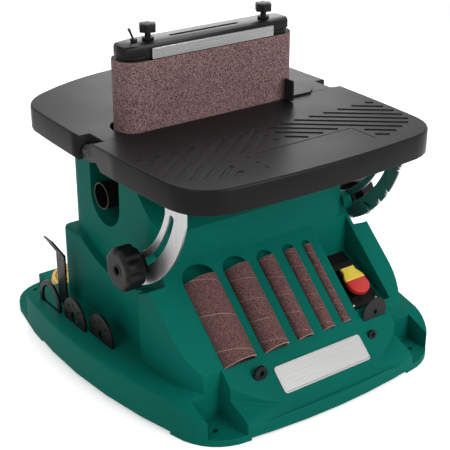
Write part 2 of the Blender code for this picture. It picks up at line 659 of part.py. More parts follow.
def drive():
    for_mount = (CAVITY[1] - FIT, CAVITY[3] - FIT)
    top = MOTOR_Z[1]
    body = [(0, MOUNT_Z[1] + 3), (8, MOUNT_Z[1] + 3), (8, top), (MOTOR_R - 14, top), (MOTOR_R - 4, top - 8),
            (MOTOR_R, top - 14), (MOTOR_R, MOTOR_Z[0] + 22), (MOTOR_R - 6, MOTOR_Z[0] + 8), (20, MOTOR_Z[0]),
            (0, MOTOR_Z[0])]
    piece("motor_body", turned(body, 24, move=(DRIVE_X, BELT_Y, 0)), DARK_STEEL)
    hole = circle(DRIVE_X, BELT_Y, 8.8)
    sheet = rounded((45, for_mount[0]), (CAVITY[2] + FIT, for_mount[1]), 4, 2)
    piece("motor_mount", plate([sheet, hole], MOUNT_Z[1] - MOUNT_Z[0], move=(0, 0, MOUNT_Z[0])), ALUMINIUM)

    bore = SPINDLE_R + 0.5
    sheet = rounded((58, for_mount[0]), (CAVITY[2] + FIT, for_mount[1]), 4, 2)
    carrier = piece("bearing_carrier", plate([sheet], CARRIER_Z[1] - CARRIER_Z[0], move=(0, 0, CARRIER_Z[0])),
                    ALUMINIUM)
    join(carrier, rod(bore + 9, CARRIER_TOP - CARRIER_Z[0] - 1, 28, move=(DRIVE_X, BELT_Y, CARRIER_Z[0] + 1)))
    cut(carrier, rod(bore, 80, 28, move=(DRIVE_X, BELT_Y, CARRIER_Z[0] - 10)))

    gear_x = DRIVE_X - WORM_R - GEAR_R - 1
    gear_z = (WORM_Z[0] + WORM_Z[1]) / 2
    back = BELT_Y + GEAR_T / 2
    teeth = [(gear_x + x, gear_z + y) for x, y in lobed(GEAR_R - 1, 1, GEAR_TEETH, GEAR_TEETH * 3)]
    loops = [teeth, circle(gear_x, gear_z, STUD_R + FIT, 16)]
    gear = piece("oscillation_gear", plate(loops, GEAR_T, ALONG_Y, (0, back, 0)), BRASS,
                 at=(gear_x, BELT_Y, gear_z))
    join(gear, rod(3, 10, 12, ALONG_Y, (gear_x + STROKE / 2, back - GEAR_T + 2, gear_z)))
    sheet = block((gear_x - 12, gear_x + 12), (back + 2, back + 6), (MOUNT_Z[1] + FIT, gear_z + 12))
    stand = piece("gear_bracket", sheet, STEEL)
    join(stand, rod(STUD_R, GEAR_T + 6, 16, ALONG_Y, (gear_x, back + 4, gear_z)),
         block((gear_x - 12, gear_x + 12), (back + 2, back + 22), (MOUNT_Z[1] + FIT, MOUNT_Z[1] + 4)))


def dust_port():
    inner = PORT_R - PORT_WALL
    length = RECESS_DEPTH + 11
    ring = [(PORT_R, length), (PORT_R, 0), (inner, 0), (inner, length), (PORT_R, length)]
    turn = Matrix.Rotation(-pi / 2, 3, "Y")
    piece("dust_port", turned(ring, 32, turn, (-TOWER_X + RECESS_DEPTH + 8, PORT_Y, PORT_Z)), BLACK)


def switch():
    plate_t = 2.0
    face = piece("switch_plate", plate([rounded((-26, 26), (4, 97), 2, 2)], plate_t, move=(0, 0, FIT)), BLACK,
                 parent=SWITCH)
    foot = block((PADDLE_U - 13, PADDLE_U + 13), (PADDLE_V[0] + 4, PADDLE_HINGE - 4), (plate_t - 1, 10))
    head = block((PADDLE_U - 19, PADDLE_U + 19), (PADDLE_V[1] + 2, PADDLE_V[1] + 11), (plate_t - 1, 13))
    join(face, foot, head, parent=SWITCH)
    u = (PADDLE_U - PADDLE_W / 2, PADDLE_U + PADDLE_W / 2)
    low, step, high = 10.6, 13.8, 20.0
    paddle = piece("switch_paddle", plate([rounded(u, PADDLE_V, 9)], step - low, move=(0, 0, low)), RED,
                   at=(PADDLE_U, PADDLE_HINGE, low + 1.5), parent=SWITCH)
    whole = rounded(u, PADDLE_V, 9)
    pad = plate([clipped(whole, KEY_V - FIT, True)], high - low - 0.5, move=(0, 0, low + 0.5))
    join(paddle, pad, parent=SWITCH)
    cap = edged_plate(clipped(whole, KEY_V, False), high + 0.5 - step - FIT, 1, (0, 0, step + FIT))
    piece("safety_key", cap, YELLOW, parent=SWITCH)


def stored_sleeves():
    for i, (radius, x, sunk) in enumerate(zip(SLEEVE_R, SLEEVE_X, SLEEVE_SUNK)):
        bore = radius - SLEEVE_WALL
        wall = [(radius, SLEEVE_LENGTH), (radius, 0), (bore, 0), (bore, SLEEVE_LENGTH)]
        turn = Matrix.Rotation(-pi / 2, 3, "X")
        tube = turned(wall + wall[:1], 28, turn, (x, SLEEVE_FOOT, -sunk))
        piece(f"sanding_sleeve_{i + 1}", tube, ABRASIVE, parent=PANEL)


def stored_inserts():
    for i, (x, y, bore, vents) in enumerate(zip(INSERT_X, INSERT_Y, INSERT_BORE, INSERT_VENTS)):
        loops = [circle(y, INSERT_Z, INSERT_R, 36), circle(y, INSERT_Z, bore, 20)]
        ring = 0.68 * INSERT_R
        loops += [circle(y + ring * cos(2 * pi * k / vents), INSERT_Z + ring * sin(2 * pi * k / vents), 2, 6)
                  for k in range(vents)]
        piece(f"table_insert_{i + 1}", plate(loops, INSERT_T, ALONG_X, (x - INSERT_T / 2, 0, 0)), BLACK)


def above_panel(at, rise):
    """Point straight above the panel, from a place on it given across and up the slope."""
    x, up = at
    return x, PANEL_Y + up * cos(PANEL_TILT), PANEL_Z + up * sin(PANEL_TILT) + rise


def stored_washers():
    """Washers that stand upright in slots across the panel."""
    for i, (radius, thick, bore) in enumerate(zip(WASHER_R, WASHER_T, WASHER_BORE)):
        x, y, z = above_panel(WASHER_AT[i], WASHER_RISE[i])
        loops = [circle(x, z, radius, 28), circle(x, z, bore, 16)]
        piece(f"spindle_washer_{i + 1}", plate(loops, thick, ALONG_Y, (0, y + thick / 2, 0)), DARK_STEEL)


def wrench():
    """Flat spindle wrench that stands in a slot, its head bent outwards."""
    half, foot, bend, reach = WRENCH_T / 2, PLINTH_H - WRENCH_SUNK, WRENCH_TOP - WRENCH_BEND, WRENCH_REACH
    side = [(-half, foot), (half, foot), (half, bend + 0.6), (-reach + half, WRENCH_TOP),
            (-reach - half, WRENCH_TOP), (-half, bend - 0.6)]
    outline = [(WRENCH_X + x, z) for x, z in side]
    strip = plate([outline], WRENCH_W, ALONG_Y, (0, WRENCH_Y + WRENCH_W / 2, 0))
    bar = piece("spindle_wrench", strip, DARK_STEEL)
    lean = Matrix.Rotation(-math.atan2(reach, WRENCH_TOP - bend), 3, "Y")
    hole = stadium(-6, 6, 0, 4.5, 6)
    upright = Matrix(((0, 0, 1), (0, 1, 0), (1, 0, 0))) @ Matrix.Diagonal((1, -1, 1))
    centre = (WRENCH_X - reach / 2, WRENCH_Y, (WRENCH_TOP + bend) / 2)
    bm = plate_bmesh([hole], 20)
    bmesh.ops.translate(bm, vec=(0, 0, -10 * MM), verts=bm.verts)
    cut(bar, finish_mesh(bm, lean @ upright, centre))


def ease(t):
    """Smooth step from 0 to 1."""
    t = min(1.0, max(0.0, t))
    return t * t * (3 - 2 * t)


def coil_points():
    """Two piled layers that spiral in and out again, with straight ends one diameter long."""
    outer = COIL_INNER + COIL_PITCH * COIL_TURNS
    steps = 24
    points = [(COIL_X + 2 * CORD_R, COIL_Y + outer, LEDGE_CORD_Z)]
    for i in range(int(round(2 * COIL_TURNS * steps)) + 1):
        turn = 2 * pi * (i / steps - COIL_TURNS)
        radius = COIL_INNER + COIL_PITCH * abs(turn) / (2 * pi)
        climb = min(1.0, max(0.0, turn / pi + 0.5))
        angle = pi / 2 + turn + 2 * pi * COIL_TURNS
        points.append((COIL_X + radius * cos(angle), COIL_Y + radius * sin(angle),
                       LEDGE_CORD_Z + COIL_STEP * climb))
    points.append((COIL_X + 2 * CORD_R, COIL_Y - outer, LEDGE_CORD_Z + COIL_STEP))
    return [Vector(p) for p in points]


def lead_points(coil_start):
    """From the gland, level, in one sweep down to the coil on the ledge."""
    first = Vector((GLAND_X, SHOULDER_REAR + GLAND_L + FIT, GLAND_Z))
    last = coil_start + Vector((FIT, 0, 0))
    reach = (last - first).length * 0.6
    handles = (first + Vector((0, reach, 0)), last + Vector((reach, 0, 0)))
    count = 12
    points = []
    for i in range(count + 1):
        t = i / count
        points.append(first * (1 - t) ** 3 + handles[0] * 3 * t * (1 - t) ** 2
                      + handles[1] * 3 * t * t * (1 - t) + last * t ** 3)
    return points


def tail_points(coil_end):
    """Down off the coil, along the ledge and up to the plug's axis."""
    first = coil_end + Vector((FIT, 0, 0))
    last = Vector((PLUG_X - FIT, PLUG_Y, REAR_Z + PLUG_R + FIT))
    count = 12
    points = []
    for i in range(count + 1):
        t = i / count
        drop = (first.z - LEDGE_CORD_Z) * (1 - ease(t / 0.45))
        rise = (last.z - LEDGE_CORD_Z) * ease((t - 0.5) / 0.45)
        points.append(Vector((first.x + (last.x - first.x) * t, first.y + (last.y - first.y) * ease(t),
                              LEDGE_CORD_Z + drop + rise)))
    return points


def least_gap(route):
    """Smallest air gap between stretches of the lead that are not neighbours, and its whole length."""
    lengths = [0.0]
    for a, b in zip(route, route[1:]):
        lengths.append(lengths[-1] + (b - a).length)
    gap = 1e9
    for i, p in enumerate(route):
        for j in range(i + 1, len(route) - 1):
            if lengths[j] - lengths[i] < 14 * CORD_R:
                continue
            a, b = route[j], route[j + 1]
            t = max(0.0, min(1.0, (p - a).dot(b - a) / (b - a).length_squared))
            gap = min(gap, (p - a.lerp(b, t)).length - 2 * CORD_R)
    return gap, lengths[-1]


def cord_tube(name, points, resolution):
    curve = bpy.data.curves.new(name, "CURVE")
    curve.dimensions = "3D"
    curve.bevel_depth = CORD_R * MM
    curve.bevel_resolution = resolution
    curve.use_fill_caps = True
    spline = curve.splines.new("POLY")
    spline.points.add(len(points) - 1)
    for point, place in zip(spline.points, points):
        point.co = (*(place * MM), 1)
    curve.materials.append(LEAD)
    PARTS.objects.link(bpy.data.objects.new(name, curve))


def mains_lead():
    coil = coil_points()
    lead, tail = lead_points(coil[0]), tail_points(coil[-1])
    gap, length = least_gap(lead + coil + tail)
    print(f"lead: {length:.0f} mm long, least gap to itself {gap:.2f} mm")
    cord_tube("cord_lead", lead, 2)
    cord_tube("cord_coil", coil, 1)
    cord_tube("cord_tail", tail, 2)

    back = Matrix.Rotation(-pi / 2, 3, "X")
    taper = [(0, GLAND_L), (CORD_R + 1.4, GLAND_L), (CORD_R + 3, 6), (9, 5), (9, FIT), (0, FIT)]
    piece("cord_gland", turned(taper, 20, back, (GLAND_X, SHOULDER_REAR, GLAND_Z)), BLACK)

    along = Matrix.Rotation(pi / 2, 3, "Y")
    z = REAR_Z + PLUG_R + FIT
    body = [(0, 34), (PLUG_R, 34), (PLUG_R, 18), (7, 12), (5, 0), (0, 0)]
    plug = piece("power_plug", turned(body, 20, along, (PLUG_X, PLUG_Y, z)), LEAD)
    for side in (-1, 1):
        blade = PLUG_Y + side * 6
        join(plug, block((PLUG_X + 33, PLUG_X + 50), (blade - 0.8, blade + 0.8), (z, z + 6)))
    join(plug, rod(2.4, 20, 12, along, (PLUG_X + 33, PLUG_Y, z - 5)))


def corner_pockets(base):
    """Pockets over the bolt-down tabs at the four corners."""
    for side in (-1, 1):
        x = sorted((side * FRONT_POCKET[0], side * FRONT_POCKET[1]))
        cut(base, block(x, (-290, FRONT_POCKET[2]), (TAB_T, 120)))
        x = sorted((side * REAR_POCKET[0], side * 260))
        cut(base, block(x, (REAR_POCKET[1], 290), (TAB_T, 120)))
    for x, y in TAB_HOLES:
        cut(base, rod(TAB_HOLE_R, 30, 16, move=(x, y, -5)))


def pad_arches(base):
    """Shallow arches that leave the base standing on its four corner pads."""
    cut(base, block((-135, 130), (-300, 300), (-1, PAD_RISE)),
        block((-300, 300), (-185, 112), (-1, PAD_RISE)))


def sleeve_groove(radius, x, sunk):
    """Cutter for a sleeve's groove: flat at the lower end, domed at the upper one."""
    groove, top = radius + GROOVE_CLEAR, SLEEVE_LENGTH + 2
    rise = 0.8 * groove
    dome = [(groove * cos(a), top + rise * sin(a)) for a in [radians(22.5 * k) for k in range(3, 0, -1)]]
    profile = [(0, top + rise)] + dome + [(groove, top), (groove, -0.5), (0, -0.5)]
    return turned(profile, 24, Matrix.Rotation(-pi / 2, 3, "X"), (x, SLEEVE_FOOT, -sunk))


def base_housing():
    rim = bowed(PLINTH_CORNERS, PLINTH_BOWS, PLINTH_ROUNDS)
    base = piece("base_housing", edged_plate(rim, PLINTH_H, 4, (0, 0, 0)), GREEN)

    # the plinth's front slopes down towards the foot of the panel
    slope = [(-300, PLINTH_H - 40), (-300, PLINTH_H + 30), (-186, PLINTH_H + 30), (-186, PLINTH_H)]
    cut(base, plate([slope], 600, ALONG_X, (-300, 0, 0)))
    dais = bowed(DAIS_CORNERS, DAIS_BOWS, DAIS_ROUNDS)
    join(base, plate([dais], 205, move=(0, 0, 7)))
    cut(base, block((-200, 200), (2, 400), (0, 300)), parent=PANEL)
    tower = rounded((-TOWER_X, TOWER_X), (TOWER_FRONT, TOWER_REAR), TOWER_ROUND, 6)
    lower = rounded((-SHOULDER_X, SHOULDER_X), (TOWER_FRONT + 3, SHOULDER_REAR), SHOULDER_ROUND, 4)
    join(base, edged_plate(lower, SHOULDER_Z - 20, 4, (0, 0, 20)))
    for side in (-1, 1):
        start = min(side * TOWER_X, side * (TOWER_X + 40))
        cut(base, rod(SHOULDER_R, 40, 72, ALONG_X, (start, PIVOT_Y, PIVOT_Z)))
    join(base, plate([tower], PLATE_Z - FIT - 21, move=(0, 0, 21)))
    for side in (-1, 1):
        start = min(side * (TOWER_X - 2), side * (QUAD_X - QUAD_T / 2 - FIT))
        join(base, rod(BOSS_R, QUAD_X - QUAD_T / 2 - FIT - TOWER_X + 2, 24, ALONG_X, (start, STUD_Y, STUD_Z)))
    rear = block((-REAR_POCKET[0] - 1, REAR_POCKET[0] + 1), (SHOULDER_REAR, 300), (REAR_Z, PLINTH_H + 20))
    cut(base, rear)

    # tilted table clears the tower's top front edge
    reach = 160
    swing_clear = [(PIVOT_Y + 14, PIVOT_Z + 2), (PIVOT_Y - reach, PIVOT_Z - 12 - reach),
                   (PIVOT_Y - reach, PIVOT_Z + 60), (PIVOT_Y + 14, PIVOT_Z + 60)]
    cut(base, plate([swing_clear], 400, ALONG_X, (-200, 0, 0)))

    inner = bowed(PLINTH_CORNERS, PLINTH_BOWS, PLINTH_ROUNDS, inset=WALL + 4)
    hollow = PLINTH_H - LEDGE_T
    middle = clipped(clipped(inner, SHOULDER_REAR - WALL, True), FRONT_POCKET[2] + WALL, False)
    cut(base, plate([middle], hollow + 1, move=(0, 0, -1)))
    half = REAR_POCKET[0] - WALL
    cut(base, block((-half, half), (SHOULDER_REAR - WALL - 1, PLINTH_CORNERS[2][1] - WALL),
                    (-1, REAR_Z - REAR_T)))
    x0, x1, y0, y1 = CAVITY
    cut(base, block((x0, x1), (y0, y1), (-1, TABLE_TOP + 10)))
    under_panel = [(-196, -1), (y0 + 0.5, -1), (y0 + 0.5, 130), (-62, 128)]
    cut(base, plate([under_panel], 2 * TOWER_X, ALONG_X, (-TOWER_X, 0, 0)))
    behind_panel = [(y0 + 0.5, 100), (y0 + 0.5, 258), (TOWER_FRONT + 23, 218), (TOWER_FRONT + 23, 150),
                    (-62, 128), (-62, 100)]
    cut(base, plate([behind_panel], x1 - x0, ALONG_X, (x0, 0, 0)))
    around = RECESS_R + 6
    join(base, block((-TOWER_X + 2, -TOWER_X + RECESS_DEPTH + 6), (RECESS_Y - around, RECESS_Y + around),
                     (RECESS_Z - around, RECESS_TOP + 5)))
    recess = arc(RECESS_Y, RECESS_Z, RECESS_R, 180, 360, 16)
    recess += [(RECESS_Y + RECESS_R, RECESS_TOP), (RECESS_Y - RECESS_R, RECESS_TOP)]
    cut(base, plate([recess], RECESS_DEPTH + 20, ALONG_X, (-TOWER_X - 20, 0, 0)))
    cut(base, rod(PORT_R + FIT, 60, 32, ALONG_X, (-TOWER_X - 10, PORT_Y, PORT_Z)))
    cut(base, plate([stadium(IDLER_X, DRIVE_X, BELT_Y, SLOT_END_R - 3)], TABLE_TOP - RECESS_TOP,
                    move=(0, 0, RECESS_TOP + 8)))
    for side in (-1, 1):
        cut(base, rod(STUD_R + FIT, 40, 16, ALONG_X, (side * TOWER_X - 20, STUD_Y, STUD_Z)))

    for radius, x, sunk in zip(SLEEVE_R, SLEEVE_X, SLEEVE_SUNK):
        cut(base, sleeve_groove(radius, x, sunk), parent=PANEL)
    low, high = SWITCH_SLOPE
    pocket = [(SWITCH_FOOT, 2), (SWITCH_FOOT, -low), (SWITCH_HEAD, -high), (SWITCH_CREST, 1)]
    cut(base, plate([pocket], SWITCH_X[1] - SWITCH_X[0], ALONG_X, (SWITCH_X[0], 0, 0)), parent=PANEL)
    for radius, thick, at, rise in zip(WASHER_R, WASHER_T, WASHER_AT, WASHER_RISE):
        x, y, z = above_panel(at, rise)
        cut(base, plate([circle(x, z, radius + FIT, 28)], thick + 2 * FIT, ALONG_Y,
                        (0, y + thick / 2 + FIT, 0)))
    for x, y in zip(INSERT_X, INSERT_Y):
        cut(base, plate([circle(y, INSERT_Z, INSERT_R + FIT, 36)], INSERT_T + 2 * FIT, ALONG_X,
                        (x - INSERT_T / 2 - FIT, 0, 0)))
    wide = WRENCH_W / 2 + FIT
    thin = WRENCH_T / 2 + FIT
    cut(base, block((WRENCH_X - thin, WRENCH_X + thin), (WRENCH_Y - wide, WRENCH_Y + wide),
                    (PLINTH_H - WRENCH_SUNK - FIT, PLINTH_H + 10)))
    pad_arches(base)
    corner_pockets(base)


table_halves()
quadrants()
lock_knobs()
belt_unit()
work_stop()
drive()
dust_port()
switch()
stored_sleeves()
stored_inserts()
stored_washers()
wrench()
mains_lead()
base_housing()
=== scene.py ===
"""Looks of an oscillating belt and spindle sander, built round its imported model, in metres."""
from math import cos, pi, radians, sin

import bmesh
import bpy
from mathutils import Matrix, Vector


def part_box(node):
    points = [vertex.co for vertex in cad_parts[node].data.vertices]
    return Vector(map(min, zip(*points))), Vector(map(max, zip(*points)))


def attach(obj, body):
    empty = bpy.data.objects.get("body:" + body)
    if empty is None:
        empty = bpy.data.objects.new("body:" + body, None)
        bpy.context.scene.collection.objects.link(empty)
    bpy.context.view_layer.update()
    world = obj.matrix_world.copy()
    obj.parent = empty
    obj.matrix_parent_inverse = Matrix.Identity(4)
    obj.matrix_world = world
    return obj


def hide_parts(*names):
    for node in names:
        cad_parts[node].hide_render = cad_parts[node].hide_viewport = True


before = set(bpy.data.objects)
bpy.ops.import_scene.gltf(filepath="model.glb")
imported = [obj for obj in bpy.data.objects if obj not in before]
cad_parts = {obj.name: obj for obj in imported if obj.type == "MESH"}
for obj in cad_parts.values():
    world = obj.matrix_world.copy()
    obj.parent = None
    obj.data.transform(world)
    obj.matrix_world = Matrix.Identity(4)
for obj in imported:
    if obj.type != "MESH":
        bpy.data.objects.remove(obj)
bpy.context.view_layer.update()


# Base housing.
# One hollow moulding in green plastic that carries everything else: plinth, inclined storage panel and
# tower. Its skin has a fine spark-eroded grain, and a paler line is painted along its corners as a
# highlight.

def new_group(name, inputs, outputs):
    """Shader node group with its sockets; returns it with its input and output nodes."""
    group = bpy.data.node_groups.new(name, "ShaderNodeTree")
    for label, kind, value in inputs:
        group.interface.new_socket(label, in_out="INPUT", socket_type=kind).default_value = value
    for label, kind in outputs:
        group.interface.new_socket(label, in_out="OUTPUT", socket_type=kind)
    return group, group.nodes.new("NodeGroupInput"), group.nodes.new("NodeGroupOutput")


def feed(tree, socket, given):
    """Links a socket to another one, or gives it a plain number or colour."""
    if isinstance(given, bpy.types.NodeSocket):
        tree.links.new(given, socket)
    else:
        socket.default_value = given


def noise(tree, vector, scale, detail=2.0):
    """Noise on given coordinates."""
    texture = tree.nodes.new("ShaderNodeTexNoise")
    for label, given in (("Vector", vector), ("Scale", scale), ("Detail", detail)):
        feed(tree, texture.inputs[label], given)
    return texture.outputs["Fac"]


def spread(tree, value, low, high, start=0.3, end=0.7):
    """Maps a value from start..end to low..high, with its ends held."""
    node = tree.nodes.new("ShaderNodeMapRange")
    limits = (("From Min", start), ("From Max", end), ("To Min", low), ("To Max", high))
    for label, given in (("Value", value), *limits):
        feed(tree, node.inputs[label], given)
    return node.outputs["Result"]


def mixed(tree, factor, first, second, blend="MIX"):
    """Colour mix; the factor and both colours are sockets or plain values."""
    node = tree.nodes.new("ShaderNodeMix")
    node.data_type = "RGBA"
    node.blend_type = blend
    feed(tree, node.inputs["Factor"], factor)
    for label, colour in (("A", first), ("B", second)):
        feed(tree, next(s for s in node.inputs if s.name == label and s.type == "RGBA"), colour)
    return next(s for s in node.outputs if s.type == "RGBA")


def corner_highlight_group():
    """Mask that is 1 on a piece's corners, where a paler colour is painted as a highlight, and a normal that
    turns smoothly round them.
    """
    group, given, out = new_group("corners", [("Radius", "NodeSocketFloat", 0.001)],
                                  [("Painted Highlight", "NodeSocketFloat"), ("Normal", "NodeSocketVector")])
    highlight_below, flat_above = 0.72, 0.99
    round_off = group.nodes.new("ShaderNodeBevel")
    round_off.samples = 6
    surface = group.nodes.new("ShaderNodeNewGeometry")
    compare = group.nodes.new("ShaderNodeVectorMath")
    compare.operation = "DOT_PRODUCT"
    group.links.new(given.outputs["Radius"], round_off.inputs["Radius"])
    group.links.new(round_off.outputs["Normal"], compare.inputs[0])
    group.links.new(surface.outputs["Normal"], compare.inputs[1])
    # The mask is 1 where the rounded normal turns away from the flat one, on corners; it carries a painted
    # highlight.
    corner = spread(group, compare.outputs["Value"], 1.0, 0.0, start=highlight_below, end=flat_above)
    group.links.new(corner, out.inputs["Painted Highlight"])
    group.links.new(round_off.outputs["Normal"], out.inputs["Normal"])
    return group


def skin_group():
    """Moulded or coated skin: slow tone changes, fine grain height and uneven gloss."""
    group, given, out = new_group(
        "skin", [("Colour", "NodeSocketColor", (0.5, 0.5, 0.5, 1)), ("Grain", "NodeSocketFloat", 1500.0),
                 ("Gloss Low", "NodeSocketFloat", 0.35), ("Gloss High", "NodeSocketFloat", 0.5)],
        [("Colour", "NodeSocketColor"), ("Height", "NodeSocketFloat"), ("Roughness", "NodeSocketFloat")])
    clouds, specks = 9.0, 320.0
    cloud_shade, speck_shade = (0.84, 0.84, 0.84, 1), (0.93, 0.93, 0.93, 1)
    place = group.nodes.new("ShaderNodeTexCoord").outputs["Object"]
    slow = noise(group, place, clouds, detail=3.0)
    speck = noise(group, place, specks, detail=1.0)
    dark = mixed(group, 1.0, given.outputs["Colour"], cloud_shade, "MULTIPLY")
    toned = mixed(group, spread(group, slow, 0.0, 1.0), dark, given.outputs["Colour"])
    deep = mixed(group, 1.0, toned, speck_shade, "MULTIPLY")
    specked = mixed(group, spread(group, speck, 0.0, 1.0), deep, toned)
    grain = noise(group, place, given.outputs["Grain"], detail=1.0)
    gloss = spread(group, slow, given.outputs["Gloss Low"], given.outputs["Gloss High"])
    for label, value in (("Colour", specked), ("Height", grain), ("Roughness", gloss)):
        group.links.new(value, out.inputs[label])
    return group


CORNER_HIGHLIGHTS = corner_highlight_group()
SKIN = skin_group()
SAME_POINT = 2e-6


def place_group(tree, group, **values):
    """Group node in a material, with its own values."""
    node = tree.nodes.new("ShaderNodeGroup")
    node.node_tree = group
    for label, value in values.items():
        node.inputs[label.replace("_", " ")].default_value = value
    return node


def bump(tree, height, depth, normal=None):
    """Bump of a real depth in metres, over an optional normal."""
    node = tree.nodes.new("ShaderNodeBump")
    node.inputs["Distance"].default_value = depth
    tree.links.new(height, node.inputs["Height"])
    if normal is not None:
        tree.links.new(normal, node.inputs["Normal"])
    return node.outputs["Normal"]


def bare_material(name):
    """Material with its node tree and Principled shader."""
    material = bpy.data.materials.new(name)
    material.use_nodes = True
    return material, material.node_tree, material.node_tree.nodes["Principled BSDF"]


def skinned(name, colour, highlight_colour, grain, depth, gloss, radius=0.0012, specular=0.4):
    """Moulded or coated material with a paler colour painted on its corners as a highlight."""
    material, tree, shader = bare_material(name)
    skin = place_group(tree, SKIN, Colour=(*colour, 1), Grain=grain, Gloss_Low=gloss[0], Gloss_High=gloss[1])
    corner = place_group(tree, CORNER_HIGHLIGHTS, Radius=radius)
    # Corners get the paler colour: a painted highlight, not wear.
    base = mixed(tree, corner.outputs["Painted Highlight"], skin.outputs["Colour"], (*highlight_colour, 1))
    tree.links.new(base, shader.inputs["Base Color"])
    tree.links.new(skin.outputs["Roughness"], shader.inputs["Roughness"])
    shader.inputs["Specular IOR Level"].default_value = specular
    normal = bump(tree, skin.outputs["Height"], depth, corner.outputs["Normal"])
    tree.links.new(normal, shader.inputs["Normal"])
    return material


def dress(node, material, edge=0.0):
    """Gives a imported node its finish, joins its triangles' corners and rounds or splits its edges."""
    round_over, split_over = radians(40), radians(35)
    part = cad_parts[node]
    part.data.materials.clear()
    part.data.materials.append(material)
    part.data.shade_smooth()
    if "custom_normal" in part.data.attributes:
        part.data.attributes.remove(part.data.attributes["custom_normal"])
    weld = part.modifiers.new("joined corners", "WELD")
    weld.merge_threshold = SAME_POINT
    if edge:
        bevel = part.modifiers.new("broken edges", "BEVEL")
        bevel.width = edge
        bevel.segments = 2
        bevel.limit_method = "ANGLE"
        bevel.angle_limit = round_over
        bevel.use_clamp_overlap = True
        bevel.harden_normals = True
    else:
        split = part.modifiers.new("sharp edges", "EDGE_SPLIT")
        split.split_angle = split_over
        part.modifiers.new("flat faces", "WEIGHTED_NORMAL")


# The second colour of each skinned material is the highlight painted on its corners.
GREEN_PLASTIC = skinned("green moulded plastic", (0.0025, 0.130, 0.098), (0.006, 0.165, 0.127),
                        grain=2200.0, depth=0.00003, gloss=(0.42, 0.54), radius=0.0018, specular=0.025)
dress("base_housing", GREEN_PLASTIC)


# Drive inside the tower.
# A painted motor, its cast mounting plate, the cast bearing carrier and a bronze gear on a steel bracket.
# They show only from below, where the housing is open.

def brushed_group():
    """Fine lines left by brushing along the direction in which Stretch is small."""
    group, given, out = new_group("brushing", [("Stretch", "NodeSocketVector", (40.0, 1500.0, 1500.0))],
                                  [("Tone", "NodeSocketFloat"), ("Height", "NodeSocketFloat")])
    place = group.nodes.new("ShaderNodeTexCoord").outputs["Object"]
    stretched = group.nodes.new("ShaderNodeVectorMath")
    stretched.operation = "MULTIPLY"
    group.links.new(place, stretched.inputs[0])
    group.links.new(given.outputs["Stretch"], stretched.inputs[1])
    lines = noise(group, stretched.outputs["Vector"], 1.0)
    group.links.new(spread(group, lines, 0.0, 1.0), out.inputs["Tone"])
    group.links.new(lines, out.inputs["Height"])
    return group


BRUSHING = brushed_group()


def brushed(name, dark, light, stretch, gloss, depth=0.00002, radius=0.0006):
    """Brushed or machined metal with fine lines and a lighter tone painted on its corners as a highlight."""
    highlight_gain = 1.5
    material, tree, shader = bare_material(name)
    lines = place_group(tree, BRUSHING, Stretch=stretch)
    corner = place_group(tree, CORNER_HIGHLIGHTS, Radius=radius)
    tone = mixed(tree, lines.outputs["Tone"], (*dark, 1), (*light, 1))
    # Corners get a tone lighter than the metal's own: a painted highlight.
    highlight_tone = tuple(min(1.0, highlight_gain * channel) for channel in light)
    base = mixed(tree, corner.outputs["Painted Highlight"], tone, (*highlight_tone, 1))
    tree.links.new(base, shader.inputs["Base Color"])
    shader.inputs["Metallic"].default_value = 1.0
    roughness = spread(tree, lines.outputs["Tone"], gloss[0], gloss[1], start=0.0, end=1.0)
    tree.links.new(roughness, shader.inputs["Roughness"])
    normal = bump(tree, lines.outputs["Height"], depth, corner.outputs["Normal"])
    tree.links.new(normal, shader.inputs["Normal"])
    return material


MOTOR_PAINT = skinned("dark motor paint", (0.028, 0.028, 0.030), (0.075, 0.075, 0.078),
                      grain=700.0, depth=0.00006, gloss=(0.4, 0.55))
CAST_ALLOY = brushed("cast alloy", (0.40, 0.40, 0.41), (0.56, 0.56, 0.57),
                     stretch=(300.0, 300.0, 300.0), gloss=(0.38, 0.52))
GEAR_BRONZE = brushed("gear bronze", (0.36, 0.22, 0.07), (0.50, 0.33, 0.12),
                      stretch=(900.0, 60.0, 900.0), gloss=(0.28, 0.4))
ZINC_STEEL = brushed("zinc plated steel", (0.47, 0.47, 0.48), (0.66, 0.66, 0.67),
                     stretch=(900.0, 900.0, 30.0), gloss=(0.26, 0.40))
dress("motor_body", MOTOR_PAINT, edge=0.0008)
dress("motor_mount", CAST_ALLOY, edge=0.0005)
dress("bearing_carrier", CAST_ALLOY, edge=0.0005)
dress("gear_bracket", ZINC_STEEL, edge=0.0003)
dress("oscillation_gear", GEAR_BRONZE)


# Maker's plate.
# A bare, pressed aluminium plate with a raised rim round a brushed field, glued to the foot of the panel
# below the stored sleeves.

PANEL_FOOT = Vector((0.0, -0.260, 0.018))
PANEL_TILT = radians(42)
PLATE_METAL = brushed("bare plate metal", (0.30, 0.30, 0.296), (0.37, 0.37, 0.366),
                      stretch=(20.0, 1400.0, 1400.0), gloss=(0.46, 0.56), depth=0.00001, radius=0.0004)


def on_panel(x, along, height):
    """Point on the inclined panel, along from its foot and at a height above its face."""
    return PANEL_FOOT + Vector((x, along * cos(PANEL_TILT) - height * sin(PANEL_TILT),
                                along * sin(PANEL_TILT) + height * cos(PANEL_TILT)))


def rounded_outline(half_x, half_y, radius, steps=6):
    """Rounded rectangle about the origin."""
    points = []
    for sx, sy, start in ((1, 1, 0), (-1, 1, 90), (-1, -1, 180), (1, -1, 270)):
        for i in range(steps + 1):
            angle = radians(start + 90 * i / steps)
            points.append((sx * (half_x - radius) + radius * cos(angle),
                           sy * (half_y - radius) + radius * sin(angle)))
    return points


